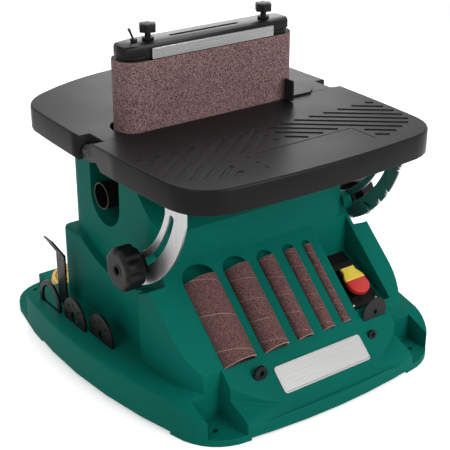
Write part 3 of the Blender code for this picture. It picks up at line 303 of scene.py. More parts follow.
def new_piece(name, bm, *materials):
    """Object from a bmesh, with its normals outward and its finish."""
    bmesh.ops.recalc_face_normals(bm, faces=bm.faces)
    mesh = bpy.data.meshes.new(name)
    bm.to_mesh(mesh)
    bm.free()
    for material in materials:
        mesh.materials.append(material)
    piece = bpy.data.objects.new(name, mesh)
    bpy.context.scene.collection.objects.link(piece)
    return piece


def smooth(piece, angle=35):
    """Smooth shading, with edges sharper than the angle left crisp."""
    piece.data.shade_smooth()
    piece.data.set_sharp_from_angle(angle=radians(angle))


def skin_loops(bm, loops, closed=False):
    """Faces between rings of points, capped at both ends unless the rings close on themselves."""
    rings = [[bm.verts.new(point) for point in loop] for loop in loops]
    count = len(rings[0])
    pairs = list(zip(rings, rings[1:]))
    if closed:
        pairs.append((rings[-1], rings[0]))
    faces = []
    for low, high in pairs:
        for i in range(count):
            j = (i + 1) % count
            faces.append(bm.faces.new((low[i], low[j], high[j], high[i])))
    if not closed:
        faces.append(bm.faces.new(rings[0][::-1]))
        faces.append(bm.faces.new(rings[-1]))
    return faces


def makers_plate():
    """Plate with a raised rim round a sunk, brushed field."""
    middle_x, middle_s = 0.002, 0.044
    half_x, half_s, corner = 0.073, 0.019, 0.005
    steps = ((0.0, 0.0003), (0.0, 0.0012), (0.0005, 0.0018), (0.0022, 0.0018), (0.0028, 0.0012))
    bm = bmesh.new()
    loops = []
    for inset, height in steps:
        ring = rounded_outline(half_x - inset, half_s - inset, corner - inset)
        loops.append([on_panel(middle_x + x, middle_s + s, height) for x, s in ring])
    skin_loops(bm, loops)
    plate = new_piece("makers_plate", bm, PLATE_METAL)
    smooth(plate, angle=25)
    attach(plate, "base")


makers_plate()


# Split table.
# Two castings in a satin black coat; the front one tilts on two hinge pins. Its face has two fields of
# shallow grooves that meet like a chevron round a plain, outlined field, and a dashed line beside that.

TABLE_COAT = skinned("black table coat", (0.0050, 0.0050, 0.0052), (0.028, 0.028, 0.029),
                     grain=1300.0, depth=0.00005, gloss=(0.32, 0.42), radius=0.0012, specular=0.12)
BLACK_OXIDE = skinned("black oxide steel", (0.013, 0.013, 0.0135), (0.070, 0.070, 0.072),
                      grain=900.0, depth=0.00003, gloss=(0.34, 0.44), radius=0.0005, specular=0.15)
TABLE_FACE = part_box("front_table")[1].z
dress("hinge_pin_left", BLACK_OXIDE, edge=0.0003)
dress("hinge_pin_right", BLACK_OXIDE, edge=0.0003)


def groove(bm, start, end, width, depth):
    """Cutter with steep sides, from start to end along the table's face."""
    side_slope, above_face = 0.7, 0.001
    start, end = Vector((*start, TABLE_FACE)), Vector((*end, TABLE_FACE))
    along = (end - start).normalized()
    across = Vector((-along.y, along.x, 0)) * width / 2
    loops = []
    for height, share in ((-depth, 1 - side_slope * depth / width), (0.0, 1.0), (above_face, 1.0)):
        short = along * (1 - share) * width / 2
        rise = Vector((0, 0, height))
        loops.append([start + short - across * share + rise, end - short - across * share + rise,
                      end - short + across * share + rise, start + short + across * share + rise])
    skin_loops(bm, loops)


def clip_to(outline, point, way):
    """Nearest and farthest distance along a line at which it is inside a convex outline, or None."""
    shortest, parallel = 0.008, 1e-9
    near, far = -1.0, 1.0
    for (ax, ay), (bx, by) in zip(outline, outline[1:] + outline[:1]):
        nx, ny = by - ay, ax - bx
        side = (point[0] - ax) * nx + (point[1] - ay) * ny
        slant = way[0] * nx + way[1] * ny
        if abs(slant) < parallel:
            continue
        hit = -side / slant
        if slant > 0:
            far = min(far, hit)
        else:
            near = max(near, hit)
    return (near, far) if far - near > shortest else None


def groove_cutters(bm):
    """Groove fields, drawn on one half and mirrored, with the outlined field left plain."""
    width, depth, pitch, count = 0.0074, 0.0015, 0.0250, 12
    first_x, back_y, slope, join = 0.206, -0.090, radians(-39), 0.004
    beside = [(0.106, -0.100), (0.106, -0.206), (0.119, -0.204), (0.152, -0.192), (0.180, -0.181),
              (0.188, -0.160), (0.190, -0.100)]
    above = [(0.006, -0.090), (0.006, -0.150), (0.190, -0.150), (0.190, -0.090)]
    way = (cos(slope), sin(slope))
    for side in (-1, 1):
        for k in range(count):
            start = (first_x - pitch * k, back_y)
            runs = [span for span in (clip_to(above, start, way), clip_to(beside, start, way)) if span]
            if len(runs) == 2 and runs[1][0] < runs[0][1] + join:
                runs = [(min(runs[0][0], runs[1][0]), max(runs[0][1], runs[1][1]))]
            for near, far in runs:
                ends = [(side * (start[0] + way[0] * t), start[1] + way[1] * t) for t in (near, far)]
                groove(bm, ends[0], ends[1], width, depth)
    left, right, back, front = -0.061, 0.097, -0.157, -0.203
    line_width, line_depth, corner_gap = 0.0017, 0.0012, 0.0014
    groove(bm, (left, back), (right, back), line_width, line_depth)
    groove(bm, (right, back - corner_gap), (right, front), line_width, line_depth)
    dash_x, dash_back, dash_front, dash_pitch = -0.074, -0.156, -0.164, 0.0195
    dash_width, dash_depth = 0.0028, 0.0014
    for k in range(3):
        start, end = dash_back - dash_pitch * k, dash_front - dash_pitch * k
        groove(bm, (dash_x, start), (dash_x, end), dash_width, dash_depth)


def welded_copy(node):
    """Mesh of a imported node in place, with its corners joined."""
    bm = bmesh.new()
    bm.from_mesh(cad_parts[node].data)
    bm.transform(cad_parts[node].matrix_world)
    bmesh.ops.remove_doubles(bm, verts=bm.verts, dist=SAME_POINT)
    return bm


def flat_faced(table):
    """Soft shading round the rim, and none on the level faces."""
    level_from = 0.999
    smooth(table)
    for face in table.data.polygons:
        face.use_smooth = abs(face.normal.z) < level_from


def grooved_table():
    """Tilting half with its grooves cut into the face."""
    table = new_piece("grooved_front_table", welded_copy("front_table"), TABLE_COAT)
    bm = bmesh.new()
    groove_cutters(bm)
    cutter = new_piece("groove_cutter", bm)
    carve = table.modifiers.new("grooves", "BOOLEAN")
    carve.operation = "DIFFERENCE"
    carve.solver = "EXACT"
    carve.object = cutter
    bpy.context.view_layer.update()
    carved = bpy.data.meshes.new_from_object(table.evaluated_get(bpy.context.evaluated_depsgraph_get()))
    table.modifiers.clear()
    table.data = carved
    bpy.data.objects.remove(cutter)
    flat_faced(table)
    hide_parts("front_table")
    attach(table, "tilt_table")


def bowed_table():
    """Fixed half whose rear rim has extra points, moved out from its short straight runs onto one bow."""
    bow, crest, reach, rim = 1.65, 0.252, 0.1668, 0.004
    shortest, longest, cuts, touching = 0.02, 0.06, 7, 1e-5
    bm = welded_copy("rear_table")

    def on_rim(edge):
        return all(abs(v.co.x) < reach and crest - bow * v.co.x ** 2 - v.co.y < rim for v in edge.verts)

    def run(edge):
        return abs(edge.verts[0].co.x - edge.verts[1].co.x)

    def level(edge):
        return abs(edge.verts[0].co.z - edge.verts[1].co.z) < touching

    slants = [edge for edge in bm.edges if on_rim(edge) and run(edge) > shortest and not level(edge)]
    bmesh.ops.dissolve_edges(bm, edges=slants, use_verts=False)
    runs = [edge for edge in bm.edges
            if on_rim(edge) and shortest < run(edge) < longest and level(edge)]
    chords = [(edge.verts[0].co.copy(), edge.verts[1].co.copy()) for edge in runs]
    old = set(bm.verts)
    bmesh.ops.subdivide_edges(bm, edges=runs, cuts=cuts, use_grid_fill=True)
    for vert in set(bm.verts) - old:
        for a, b in chords:
            share = (vert.co.x - a.x) / (b.x - a.x)
            if 0 < share < 1 and (a.lerp(b, share) - vert.co).length < touching:
                vert.co.y += bow * (vert.co.x - a.x) * (b.x - vert.co.x)
                break
    table = new_piece("bowed_rear_table", bm, TABLE_COAT)
    flat_faced(table)
    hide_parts("rear_table")
    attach(table, "base")


grooved_table()
bowed_table()


# Tilt quadrants and lock knobs.
# Stamped, brushed steel arcs screwed under the tilting half; the right one has stop notches. Black moulded
# knobs with fluted rims clamp them to the tower, and each has a sunk centre.

QUADRANT_STEEL = brushed("brushed quadrant steel", (0.36, 0.36, 0.365), (0.50, 0.50, 0.505),
                         stretch=(1200.0, 1200.0, 18.0), gloss=(0.28, 0.40))
BLACK_PLASTIC = skinned("black moulded plastic", (0.0055, 0.0055, 0.0058), (0.026, 0.026, 0.027),
                        grain=1800.0, depth=0.00004, gloss=(0.38, 0.50), radius=0.0010, specular=0.14)
DEEP_BLACK = skinned("sunk black", (0.006, 0.006, 0.006), (0.02, 0.02, 0.02),
                     grain=1800.0, depth=0.00002, gloss=(0.5, 0.6))
dress("quadrant_left", QUADRANT_STEEL, edge=0.0004)
dress("quadrant_right", QUADRANT_STEEL, edge=0.0004)


def lock_knob(node, body, side):
    """Stud, washer and round knob with eight shallow flutes in its rim and a sunk middle."""
    low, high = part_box(node)
    inner = low.x if side > 0 else high.x
    middle = Vector((inner, (low.y + high.y) / 2, (low.z + high.z) / 2))
    outward = Matrix.Translation(middle) @ Matrix.Rotation(side * pi / 2, 4, "Y")
    profile = [(0.0040, 0.0000, 0), (0.0040, 0.0250, 0), (0.0120, 0.0250, 0), (0.0120, 0.0318, 0),
               (0.0255, 0.0320, 0.9), (0.0282, 0.0328, 1), (0.0291, 0.0350, 1), (0.0291, 0.0525, 1),
               (0.0286, 0.0553, 1), (0.0272, 0.0575, 0.9), (0.0245, 0.0588, 0.5), (0.0200, 0.0590, 0),
               (0.0098, 0.0586, 0), (0.0090, 0.0594, 0), (0.0072, 0.0594, 0), (0.0060, 0.0585, 0),
               (0.0055, 0.0530, 0)]
    steps, flutes, depth, narrowness = 128, 8, 0.0024, 3
    loops = []
    for radius, height, share in profile:
        ring = []
        for i in range(steps):
            angle = 2 * pi * i / steps
            flute = (0.5 + 0.5 * cos(flutes * angle)) ** narrowness
            reach = radius - share * depth * flute
            ring.append(outward @ Vector((reach * cos(angle), reach * sin(angle), height)))
        loops.append(ring)
    bm = bmesh.new()
    skin_loops(bm, loops)
    knob = new_piece(node.replace("lock_knob", "fluted_knob"), bm, BLACK_PLASTIC, DEEP_BLACK)
    knob.data.polygons[-1].material_index = 1
    smooth(knob, angle=40)
    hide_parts(node)
    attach(knob, body)


lock_knob("lock_knob_left", "left_lock", side=-1)
lock_knob("lock_knob_right", "right_lock", side=1)


# Belt unit.
# A black frame with two rubber faced drums, one of them on the steel spindle, under a gloss black cover
# with two knobs and a tension lever. The cloth belt round it has brown-red grit on its face.

def maths(tree, operation, *given):
    """Result of a sum on sockets or plain numbers."""
    node = tree.nodes.new("ShaderNodeMath")
    node.operation = operation
    for socket, value in zip(node.inputs, given):
        feed(tree, socket, value)
    return node.outputs["Value"]


def grit_group():
    """Coated abrasive: grains of mixed tones, darker in small patches and in wide worn areas."""
    group, given, out = new_group(
        "grit", [("Dark", "NodeSocketColor", (0.1, 0.05, 0.05, 1)),
                 ("Light", "NodeSocketColor", (0.4, 0.3, 0.3, 1)), ("Grains", "NodeSocketFloat", 800.0)],
        [("Colour", "NodeSocketColor"), ("Height", "NodeSocketFloat")])
    patch_scale, worn_scale, worn_shade = 1000.0, 14.0, (0.86, 0.86, 0.86, 1)
    place = group.nodes.new("ShaderNodeTexCoord").outputs["Object"]
    cells = group.nodes.new("ShaderNodeTexVoronoi")
    group.links.new(place, cells.inputs["Vector"])
    group.links.new(given.outputs["Grains"], cells.inputs["Scale"])
    single = group.nodes.new("ShaderNodeSeparateColor")
    group.links.new(cells.outputs["Color"], single.inputs["Color"])
    grain = spread(group, single.outputs["Red"], 0.0, 1.0, start=0.25, end=0.85)
    patch = spread(group, noise(group, place, patch_scale), 0.7, 1.0, start=0.35, end=0.65)
    tone = maths(group, "MULTIPLY", grain, patch)
    fresh = mixed(group, tone, given.outputs["Dark"], given.outputs["Light"])
    worn = mixed(group, 1.0, fresh, worn_shade, "MULTIPLY")
    wear = spread(group, noise(group, place, worn_scale), 0.0, 1.0)
    group.links.new(mixed(group, wear, worn, fresh), out.inputs["Colour"])
    group.links.new(single.outputs["Red"], out.inputs["Height"])
    return group


GRIT = grit_group()


def abrasive(name, dark, light, grains, turns, width, seam_colour):
    """Abrasive cloth with a seam that follows the piece's map, its width a share of the way round."""
    seam_core, half_turn, grit_depth = 0.4, 0.5, 0.00018
    material, tree, shader = bare_material(name)
    grit = place_group(tree, GRIT, Dark=(*dark, 1), Light=(*light, 1), Grains=grains)
    where = tree.nodes.new("ShaderNodeSeparateXYZ")
    tree.links.new(tree.nodes.new("ShaderNodeUVMap").outputs["UV"], where.inputs["Vector"])
    wound = maths(tree, "MULTIPLY_ADD", where.outputs["Y"], turns, where.outputs["X"])
    off_seam = maths(tree, "PINGPONG", wound, half_turn)
    line = spread(tree, off_seam, 1.0, 0.0, start=seam_core * width, end=width)
    seamed = mixed(tree, line, grit.outputs["Colour"], (*seam_colour, 1))
    tree.links.new(seamed, shader.inputs["Base Color"])
    shader.inputs["Roughness"].default_value = 0.72
    shader.inputs["Specular IOR Level"].default_value = 0.35
    tree.links.new(bump(tree, grit.outputs["Height"], grit_depth), shader.inputs["Normal"])
    return material


def woven_backing(name, dark, light):
    """Cloth or card backing, with a fine weave."""
    threads, thread_depth = (1800.0, 1800.0, 500.0), 0.0001
    material, tree, shader = bare_material(name)
    lines = place_group(tree, BRUSHING, Stretch=threads)
    tree.links.new(mixed(tree, lines.outputs["Tone"], (*dark, 1), (*light, 1)), shader.inputs["Base Color"])
    shader.inputs["Roughness"].default_value = 0.85
    tree.links.new(bump(tree, lines.outputs["Height"], thread_depth), shader.inputs["Normal"])
    return material


BELT_GRIT = abrasive("belt grit", (0.044, 0.015, 0.015), (0.375, 0.238, 0.238), grains=1300.0,
                     turns=0.06, width=0.0016, seam_colour=(0.050, 0.022, 0.018))
BELT_CLOTH = woven_backing("belt backing cloth", (0.16, 0.085, 0.05), (0.26, 0.15, 0.09))
GLOSS_BLACK = skinned("gloss black cover", (0.007, 0.007, 0.0075), (0.04, 0.04, 0.042),
                      grain=500.0, depth=0.00001, gloss=(0.27, 0.35), radius=0.0008, specular=0.13)
DRUM_RUBBER = skinned("drum rubber", (0.026, 0.026, 0.026), (0.05, 0.05, 0.05),
                      grain=900.0, depth=0.00008, gloss=(0.6, 0.75))
dress("belt_frame", BLACK_PLASTIC, edge=0.0004)
dress("idler_axle", ZINC_STEEL, edge=0.0003)
dress("idler_drum", DRUM_RUBBER, edge=0.0003)
dress("drive_drum", DRUM_RUBBER, edge=0.0003)
dress("spindle_shaft", ZINC_STEEL, edge=0.0003)
dress("belt_cover", GLOSS_BLACK, edge=0.0005)
dress("tracking_knob", BLACK_PLASTIC, edge=0.0006)
dress("clamp_knob", BLACK_PLASTIC, edge=0.0006)
dress("tension_lever", BLACK_OXIDE, edge=0.0002)


def cloth_section(thick, low, high, soft):
    """Cross-section of a band as (inset, height) points, from its grit face round its softened rims."""
    return [(0.0, low + soft), (0.0, high - soft), (soft, high), (thick - soft, high),
            (thick, high - soft), (thick, low + soft), (thick - soft, low), (soft, low)]


def mapped_sleeve(name, loops, turns, grit, backing):
    """Closed band from rings of points, with grit on its first row of faces and backing on the others.

    In its map, u runs once round each ring and v the given turns across it.
    """
    bm = bmesh.new()
    layer = bm.loops.layers.uv.new("wind")
    count = len(loops[0])
    faces = skin_loops(bm, loops, closed=True)
    for k, face in enumerate(faces):
        row, i = divmod(k, count)
        face.material_index = 1 if row else 0
        for corner, loop in enumerate(face.loops):
            u = (i + (1 if corner in (1, 2) else 0)) / count
            v = turns if corner in (2, 3) else 0.0
            loop[layer].uv = (u, v)
    band = new_piece(name, bm, grit, backing)
    smooth(band, angle=40)
    return band


def sanding_belt():
    """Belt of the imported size, with finely rounded turns and a slanted splice on its back run."""
    low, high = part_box("sanding_belt")
    outer = (high.y - low.y) / 2
    middle_y = (high.y + low.y) / 2
    ends = (high.x - outer, low.x + outer)
    thick, soft, steps, run, turns = 0.0011, 0.0003, 32, 6, 1.0

    def ring(offset, z):
        points = []
        for end, start in ((1, 90), (0, -90)):
            for i in range(steps + 1):
                angle = radians(start + 180 * i / steps)
                points.append(Vector((ends[end] + (outer - offset) * cos(angle),
                                      middle_y + (outer - offset) * sin(angle), z)))
            far = Vector((ends[1 - end], points[-1].y, z))
            near = points[-1].copy()
            points += [near.lerp(far, (i + 1) / (run + 1)) for i in range(run)]
        return points

    loops = [ring(*point) for point in cloth_section(thick, low.z, high.z, soft)]
    belt = mapped_sleeve("belt_cloth", loops, turns, BELT_GRIT, BELT_CLOTH)
    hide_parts("sanding_belt")
    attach(belt, "carriage")


sanding_belt()


PLATEN_STEEL = brushed("ground platen steel", (0.22, 0.22, 0.22), (0.32, 0.32, 0.32),
                       stretch=(18.0, 1500.0, 1500.0), gloss=(0.22, 0.32))


def platen_edge():
    """Top of the steel platen that backs the belt's working run, in front of the cover."""
    left, right, soft, corner = -0.1100, 0.0830, 0.0006, 0.0012
    proud, clear, foot_sunk, top_sunk = 0.00015, 0.0002, 0.0052, 0.0050
    cover_low, cover_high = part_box("belt_cover")
    frame_low, frame_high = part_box("belt_frame")
    low = Vector((left, frame_low.y - proud, frame_high.z - foot_sunk))
    high = Vector((right, cover_low.y - clear, cover_high.z - top_sunk))
    middle, half = (low + high) / 2, (high - low) / 2
    loops = []
    for y, inset in ((low.y, soft), (low.y + soft, 0.0), (high.y, 0.0)):
        ring = rounded_outline(half.x - inset, half.z - inset, corner - inset, steps=3)
        loops.append([Vector((middle.x + x, y, middle.z + z)) for x, z in ring])
    bm = bmesh.new()
    skin_loops(bm, loops)
    platen = new_piece("platen_edge", bm, PLATEN_STEEL)
    smooth(platen, angle=30)
    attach(platen, "carriage")


platen_edge()


# Work stop.
# A bent plate in black oxide, screwed to the fixed table round the belt's right end, where its turned-up
# tab stops the work.

dress("work_stop", BLACK_OXIDE, edge=0.0004)


# Dust port.
# A plain black tube, moulded separately and pushed into the tower wall at the back of its recess.

dress("dust_port", BLACK_PLASTIC, edge=0.0004)


# Paddle switch.
# A black plate held by screws in a sloping recess, with a red paddle that hinges at its top. The yellow
# key plugs into the paddle, and with it out the switch can't be turned on.

SWITCH_FOOT = Vector((0.122, -0.18145, 0.07124))
SWITCH_TILT = radians(26.996)
RED_GLOSS = skinned("red paddle", (0.60, 0.030, 0.026), (0.72, 0.10, 0.08),
                    grain=1500.0, depth=0.00002, gloss=(0.28, 0.38), radius=0.0008)
YELLOW_GLOSS = skinned("yellow key", (0.86, 0.62, 0.07), (0.95, 0.78, 0.25),
                       grain=1500.0, depth=0.00002, gloss=(0.30, 0.40), radius=0.0008)
dress("switch_plate", BLACK_PLASTIC, edge=0.0006)
TO_SWITCH = Matrix.Translation(SWITCH_FOOT) @ Matrix.Rotation(SWITCH_TILT, 4, "X")


def raised_shape(bm, outline, low, high, edge, middle):
    """Plate with a softly rounded top edge; the outline is (across, along) round a middle point."""
    knee, at_middle = 0.3 * edge, 1e-6
    loops = []
    for inset, height in ((0.0, low), (0.0, high - edge), (knee, high - knee), (edge, high)):
        ring = []
        for x, y in outline:
            way = Vector((x - middle[0], y - middle[1]))
            way *= 1 - inset / max(way.length, at_middle)
            ring.append(TO_SWITCH @ Vector((middle[0] + way.x, middle[1] + way.y, height)))
        loops.append(ring)
    skin_loops(bm, loops)


def paddle_pieces():
    """Red lower half with a tongue under the key, and the waisted yellow key."""
    half, foot, split, neck, head = 0.017, 0.016, 0.040, 0.0115, 0.062
    shoulder, slant, waist = (half - 0.0002, 0.045), (neck + 0.002, 0.051), (neck, 0.056)
    low, step, high, gap = 0.0106, 0.0138, 0.0174, 0.0003
    red_middle, key_middle, tongue_share = (0, 0.029), (0, 0.050), 0.9
    turn = [(half * cos(radians(a)), foot + half + half * sin(radians(a))) for a in range(180, 361, 12)]
    red = [(half, split - gap), (-half, split - gap)] + turn
    side = [(half, split), shoulder, slant, waist, (neck + 0.0005, head)]
    yellow = side + [(-x, y) for x, y in reversed(side)]
    tongue = [(tongue_share * x, y) for x, y in yellow]
    bm = bmesh.new()
    raised_shape(bm, red, low, high, edge=0.0018, middle=red_middle)
    raised_shape(bm, tongue, low, step, edge=0.0004, middle=key_middle)
    paddle = new_piece("paddle_shell", bm, RED_GLOSS)
    smooth(paddle, angle=30)
    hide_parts("switch_paddle")
    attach(paddle, "paddle")
    bm = bmesh.new()
    raised_shape(bm, yellow, step + gap, high + gap, edge=0.0015, middle=key_middle)
    key = new_piece("key_shell", bm, YELLOW_GLOSS)
    smooth(key, angle=30)
    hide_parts("safety_key")
    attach(key, "key")


def lathe(bm, profile, steps, matrix):
    """Rings of a turned shape from (radius, height) points, from its foot to its top."""
    angles = [2 * pi * i / steps for i in range(steps)]
    loops = []
    for radius, height in profile:
        loops.append([matrix @ Vector((radius * cos(a), radius * sin(a), height)) for a in angles])
    skin_loops(bm, loops)


def switch_screws():
    """Domed screws at the plate's corners and beside the switch."""
    face, steps = 0.0023, 14
    dome = [(0.0026, -0.0002), (0.0026, 0.0005), (0.0021, 0.0012), (0.0011, 0.0016)]
    places = [(0.021, 0.009), (0.021, 0.077), (0.022, 0.029), (0.0225, 0.058)]
    bm = bmesh.new()
    for x, y in places:
        for side in (-1, 1):
            lathe(bm, dome, steps, TO_SWITCH @ Matrix.Translation((side * x, y, face)))
    screws = new_piece("switch_screws", bm, ZINC_STEEL)
    smooth(screws, angle=50)
    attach(screws, "base")


paddle_pieces()
switch_screws()


# Stored sanding sleeves.
# Five abrasive sleeves, wound in a spiral from coated cloth, which lie in grooves of the panel. Their wound
# seam shows as a thin slanting line, and their ends show the brown backing.

SLEEVE_GRIT = abrasive("sleeve grit", (0.036, 0.011, 0.010), (0.225, 0.107, 0.100), grains=1400.0,
                       turns=-1.0, width=0.010, seam_colour=(0.330, 0.215, 0.200))
SLEEVE_CARD = woven_backing("sleeve backing", (0.40, 0.27, 0.23), (0.54, 0.40, 0.35))


def sanding_sleeves():
    """Tubes on the panel's slope, each with softened rims."""
    radii = (0.0254, 0.0190, 0.0127, 0.0095, 0.0064)
    places = (-0.110, -0.052, -0.003, 0.0375, 0.0685)
    depths = (0.0054, 0.0010, 0.0010, 0.0010, 0.0010)
    windings = (2.4, 4.0, 4.5, 5.5, 6.0)
    foot, length, wall, soft, steps = 0.084, 0.120, 0.0016, 0.0004, 64
    angles = [2 * pi * i / steps for i in range(steps)]
    for number, (radius, x, sunk, turns) in enumerate(zip(radii, places, depths, windings), 1):
        loops = []
        for inset, along in cloth_section(wall, 0.0, length, soft):
            reach = radius - inset
            loops.append([on_panel(x + reach * cos(a), foot + along, reach * sin(a) - sunk) for a in angles])
        sleeve = mapped_sleeve(f"wound_sleeve_{number}", loops, turns, SLEEVE_GRIT, SLEEVE_CARD)
        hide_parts(f"sanding_sleeve_{number}")
        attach(sleeve, "base")


sanding_sleeves()


# Stored table inserts, washers and wrench.
# Black moulded rings that close the spindle's hole, blackened steel washers for the sleeves, and a flat,
# black coated wrench with a bent head, all standing in slots of the base.

for number in (1, 2, 3):
    dress(f"table_insert_{number}", BLACK_PLASTIC, edge=0.0004)
    dress(f"spindle_washer_{number}", BLACK_OXIDE, edge=0.0004)
dress("spindle_wrench", TABLE_COAT, edge=0.0004)


# Mains lead.
# A 6 mm yellow lead leaves the back of the tower through a tapered sleeve, drops to the low platform, and
# lies there in a flat coil of two layers, held by a black strap, with its moulded plug beside it.

LEAD_SHEATH = skinned("yellow lead sheath", (0.83, 0.49, 0.10), (0.90, 0.60, 0.20),
                      grain=1200.0, depth=0.00003, gloss=(0.36, 0.48), radius=0.0004)
LEAD_RADIUS, LEAD_FLOOR = 0.003, 0.0263
COIL_MIDDLE = Vector((-0.115, 0.203, 0.0))
COIL_TURNS, COIL_INNER, COIL_PITCH, LAYER_STEP = 3.75, 0.022, 0.0067, 0.0067
dress("cord_gland", BLACK_PLASTIC, edge=0.0005)
dress("power_plug", LEAD_SHEATH, edge=0.0004)


def ease(t):
    """Smooth step from 0 to 1."""
    t = min(1.0, max(0.0, t))
    return t * t * (3 - 2 * t)


def coil_route():
    """Two piled layers that spiral in and out again, with straight ends."""
    outer = COIL_INNER + COIL_PITCH * COIL_TURNS
    end_x = COIL_MIDDLE.x + 2 * LEAD_RADIUS
    steps = 24
    points = [(end_x, COIL_MIDDLE.y + outer, LEAD_FLOOR)]
    for i in range(int(round(2 * COIL_TURNS * steps)) + 1):
        turn = 2 * pi * (i / steps - COIL_TURNS)
        reach = COIL_INNER + COIL_PITCH * abs(turn) / (2 * pi)
        climb = min(1.0, max(0.0, turn / pi + 0.5))
        angle = pi / 2 + turn + 2 * pi * COIL_TURNS
        points.append((COIL_MIDDLE.x + reach * cos(angle), COIL_MIDDLE.y + reach * sin(angle),
                       LEAD_FLOOR + LAYER_STEP * climb))
    points.append((end_x, COIL_MIDDLE.y - outer, LEAD_FLOOR + LAYER_STEP))
    return [Vector(p) for p in points]


def sweep_route(first, last):
    """Level out of the gland, then down in one sweep to the coil."""
    pull, count = 0.6, 12
    reach = (last - first).length * pull
    near, far = first + Vector((0, reach, 0)), last + Vector((reach, 0, 0))
    points = []
    for i in range(count + 1):
        t = i / count
        s = 1 - t
        points.append(first * s ** 3 + near * 3 * t * s ** 2 + far * 3 * t * t * s + last * t ** 3)
    return points


def tail_route(first, last):
    """Down off the coil, along the platform and up to the plug."""
    ramp, rise_from, count = 0.45, 0.5, 12
    points = []
    for i in range(count + 1):
        t = i / count
        drop = (first.z - LEAD_FLOOR) * (1 - ease(t / ramp))
        rise = (last.z - LEAD_FLOOR) * ease((t - rise_from) / ramp)
        points.append(Vector((first.x + (last.x - first.x) * t, first.y + (last.y - first.y) * ease(t),
                              LEAD_FLOOR + drop + rise)))
    return points


def coil_strap():
    """Flat band round one side of the coil's turns."""
    slack, under, over = 0.0012, 0.0001, 0.0008
    inner = COIL_INNER - LEAD_RADIUS - slack
    outer = COIL_INNER + COIL_PITCH * COIL_TURNS + LEAD_RADIUS + slack
    low, high = LEAD_FLOOR - LEAD_RADIUS - under, LEAD_FLOOR + LAYER_STEP + LEAD_RADIUS + over
    thick, half_wide, corner, side = 0.0007, 0.005, 0.004, radians(215)
    turn = Matrix.Translation((COIL_MIDDLE.x, COIL_MIDDLE.y, 0)) @ Matrix.Rotation(side, 4, "Z")
    loops = []
    for across, grow in ((-half_wide, 0.0), (-half_wide, thick), (half_wide, thick), (half_wide, 0.0)):
        outline = rounded_outline((outer - inner) / 2 + grow, (high - low) / 2 + grow, corner, steps=5)
        loops.append([turn @ Vector(((inner + outer) / 2 + x, across, max((low + high) / 2 + z, low)))
                      for x, z in outline])
    bm = bmesh.new()
    skin_loops(bm, loops, closed=True)
    strap = new_piece("coil_strap", bm, BLACK_PLASTIC)
    smooth(strap, angle=40)
    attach(strap, "base")
    return strap


def mains_lead():
    """One unbroken lead from the gland to the plug, and the strap round its coil."""
    gap, tower_back, platform = 0.0003, 0.150, 0.023
    gland_x, gland_z, gland_long = -0.030, 0.080, 0.027
    plug_x, plug_y, plug_half = 0.012, 0.164, 0.011
    coil = coil_route()
    leave = Vector((gland_x, tower_back + gland_long + gap, gland_z))
    plug_end = Vector((plug_x - gap, plug_y, platform + plug_half + gap))
    route = sweep_route(leave, coil[0] + Vector((gap, 0, 0))) + coil
    route += tail_route(coil[-1] + Vector((gap, 0, 0)), plug_end)
    curve = bpy.data.curves.new("mains_lead", "CURVE")
    curve.dimensions = "3D"
    curve.bevel_depth = LEAD_RADIUS
    curve.bevel_resolution = 4
    curve.use_fill_caps = True
    spline = curve.splines.new("POLY")
    spline.points.add(len(route) - 1)
    for point, place in zip(spline.points, route):
        point.co = (*place, 1)
    curve.materials.append(LEAD_SHEATH)
    lead = bpy.data.objects.new("mains_lead", curve)
    bpy.context.scene.collection.objects.link(lead)
    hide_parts("cord_lead", "cord_coil", "cord_tail")
    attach(lead, "base")
    strap = coil_strap()


mains_lead()


# Studio.
# A pale floor that runs into a white surround, four soft lamps, and the camera where the photograph's was.

def seen_directly(tree):
    """1 for what the camera sees, straight or in a mirror or glass, and 0 for what only lights."""
    path = tree.nodes.new("ShaderNodeLightPath")
    mirrored = maths(tree, "MAXIMUM", path.outputs["Is Camera Ray"], path.outputs["Is Glossy Ray"])
    return maths(tree, "MAXIMUM", mirrored, path.outputs["Is Transmission Ray"])


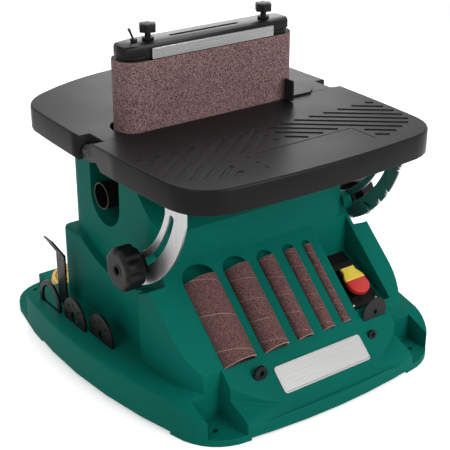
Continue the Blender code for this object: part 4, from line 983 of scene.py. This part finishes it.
def pale_floor():
    """Wide floor, white to the camera but with the machine's shadow kept."""
    half_wide, drop, glow = 1.5, 0.0005, 0.4
    bm = bmesh.new()
    bmesh.ops.create_grid(bm, x_segments=1, y_segments=1, size=half_wide)
    material, tree, shader = bare_material("pale floor")
    shader.inputs["Base Color"].default_value = (0.93, 0.93, 0.93, 1)
    shader.inputs["Roughness"].default_value = 0.9
    shader.inputs["Specular IOR Level"].default_value = 0.1
    shader.inputs["Emission Color"].default_value = (1, 1, 1, 1)
    glowing = spread(tree, seen_directly(tree), 0.0, glow, start=0.0, end=1.0)
    tree.links.new(glowing, shader.inputs["Emission Strength"])
    floor = new_piece("floor", bm, material)
    floor.location.z = -drop


def softbox(name, place, aim, size, watts):
    """Square soft lamp that looks at a point."""
    lamp = bpy.data.lights.new(name, "AREA")
    lamp.shape = "SQUARE"
    lamp.size = size
    lamp.energy = watts
    holder = bpy.data.objects.new(name, lamp)
    holder.location = place
    holder.rotation_euler = (Vector(aim) - Vector(place)).to_track_quat("-Z", "Y").to_euler()
    bpy.context.scene.collection.objects.link(holder)


def white_surround(light):
    """World that lights softly and looks white to the camera and in reflections."""
    world = bpy.data.worlds.new("white surround")
    world.use_nodes = True
    tree = world.node_tree
    sky = tree.nodes["Background"]
    sky.inputs["Color"].default_value = (1, 1, 1, 1)
    strength = spread(tree, seen_directly(tree), light, 1.0, start=0.0, end=1.0)
    tree.links.new(strength, sky.inputs["Strength"])
    bpy.context.scene.world = world


pale_floor()
white_surround(light=0.42)
softbox("overhead softbox", (0.35, 0.75, 1.9), aim=(0.0, 0.0, 0.3), size=1.3, watts=22.0)
softbox("left softbox", (-1.8, -0.5, 1.3), aim=(0.0, 0.0, 0.2), size=1.1, watts=10.0)
softbox("rear softbox", (1.05, 1.50, 0.85), aim=(0.0, 0.0, 0.33), size=0.8, watts=4.0)
softbox("front softbox", (0.6, -2.0, 1.3), aim=(0.0, 0.0, 0.15), size=1.1, watts=34.0)

camera = bpy.data.cameras.new("photograph's camera")
camera.lens = 88.6
camera.sensor_width = 36.0
camera_stand = bpy.data.objects.new("photograph's camera", camera)
camera_stand.location = (-0.8275, -1.1567, 0.8200)
camera_stand.rotation_euler = Vector((0.5316, 0.7356, -0.4197)).to_track_quat("-Z", "Y").to_euler()
bpy.context.scene.collection.objects.link(camera_stand)
bpy.context.scene.camera = camera_stand
bpy.context.scene.view_settings.view_transform = "Standard"
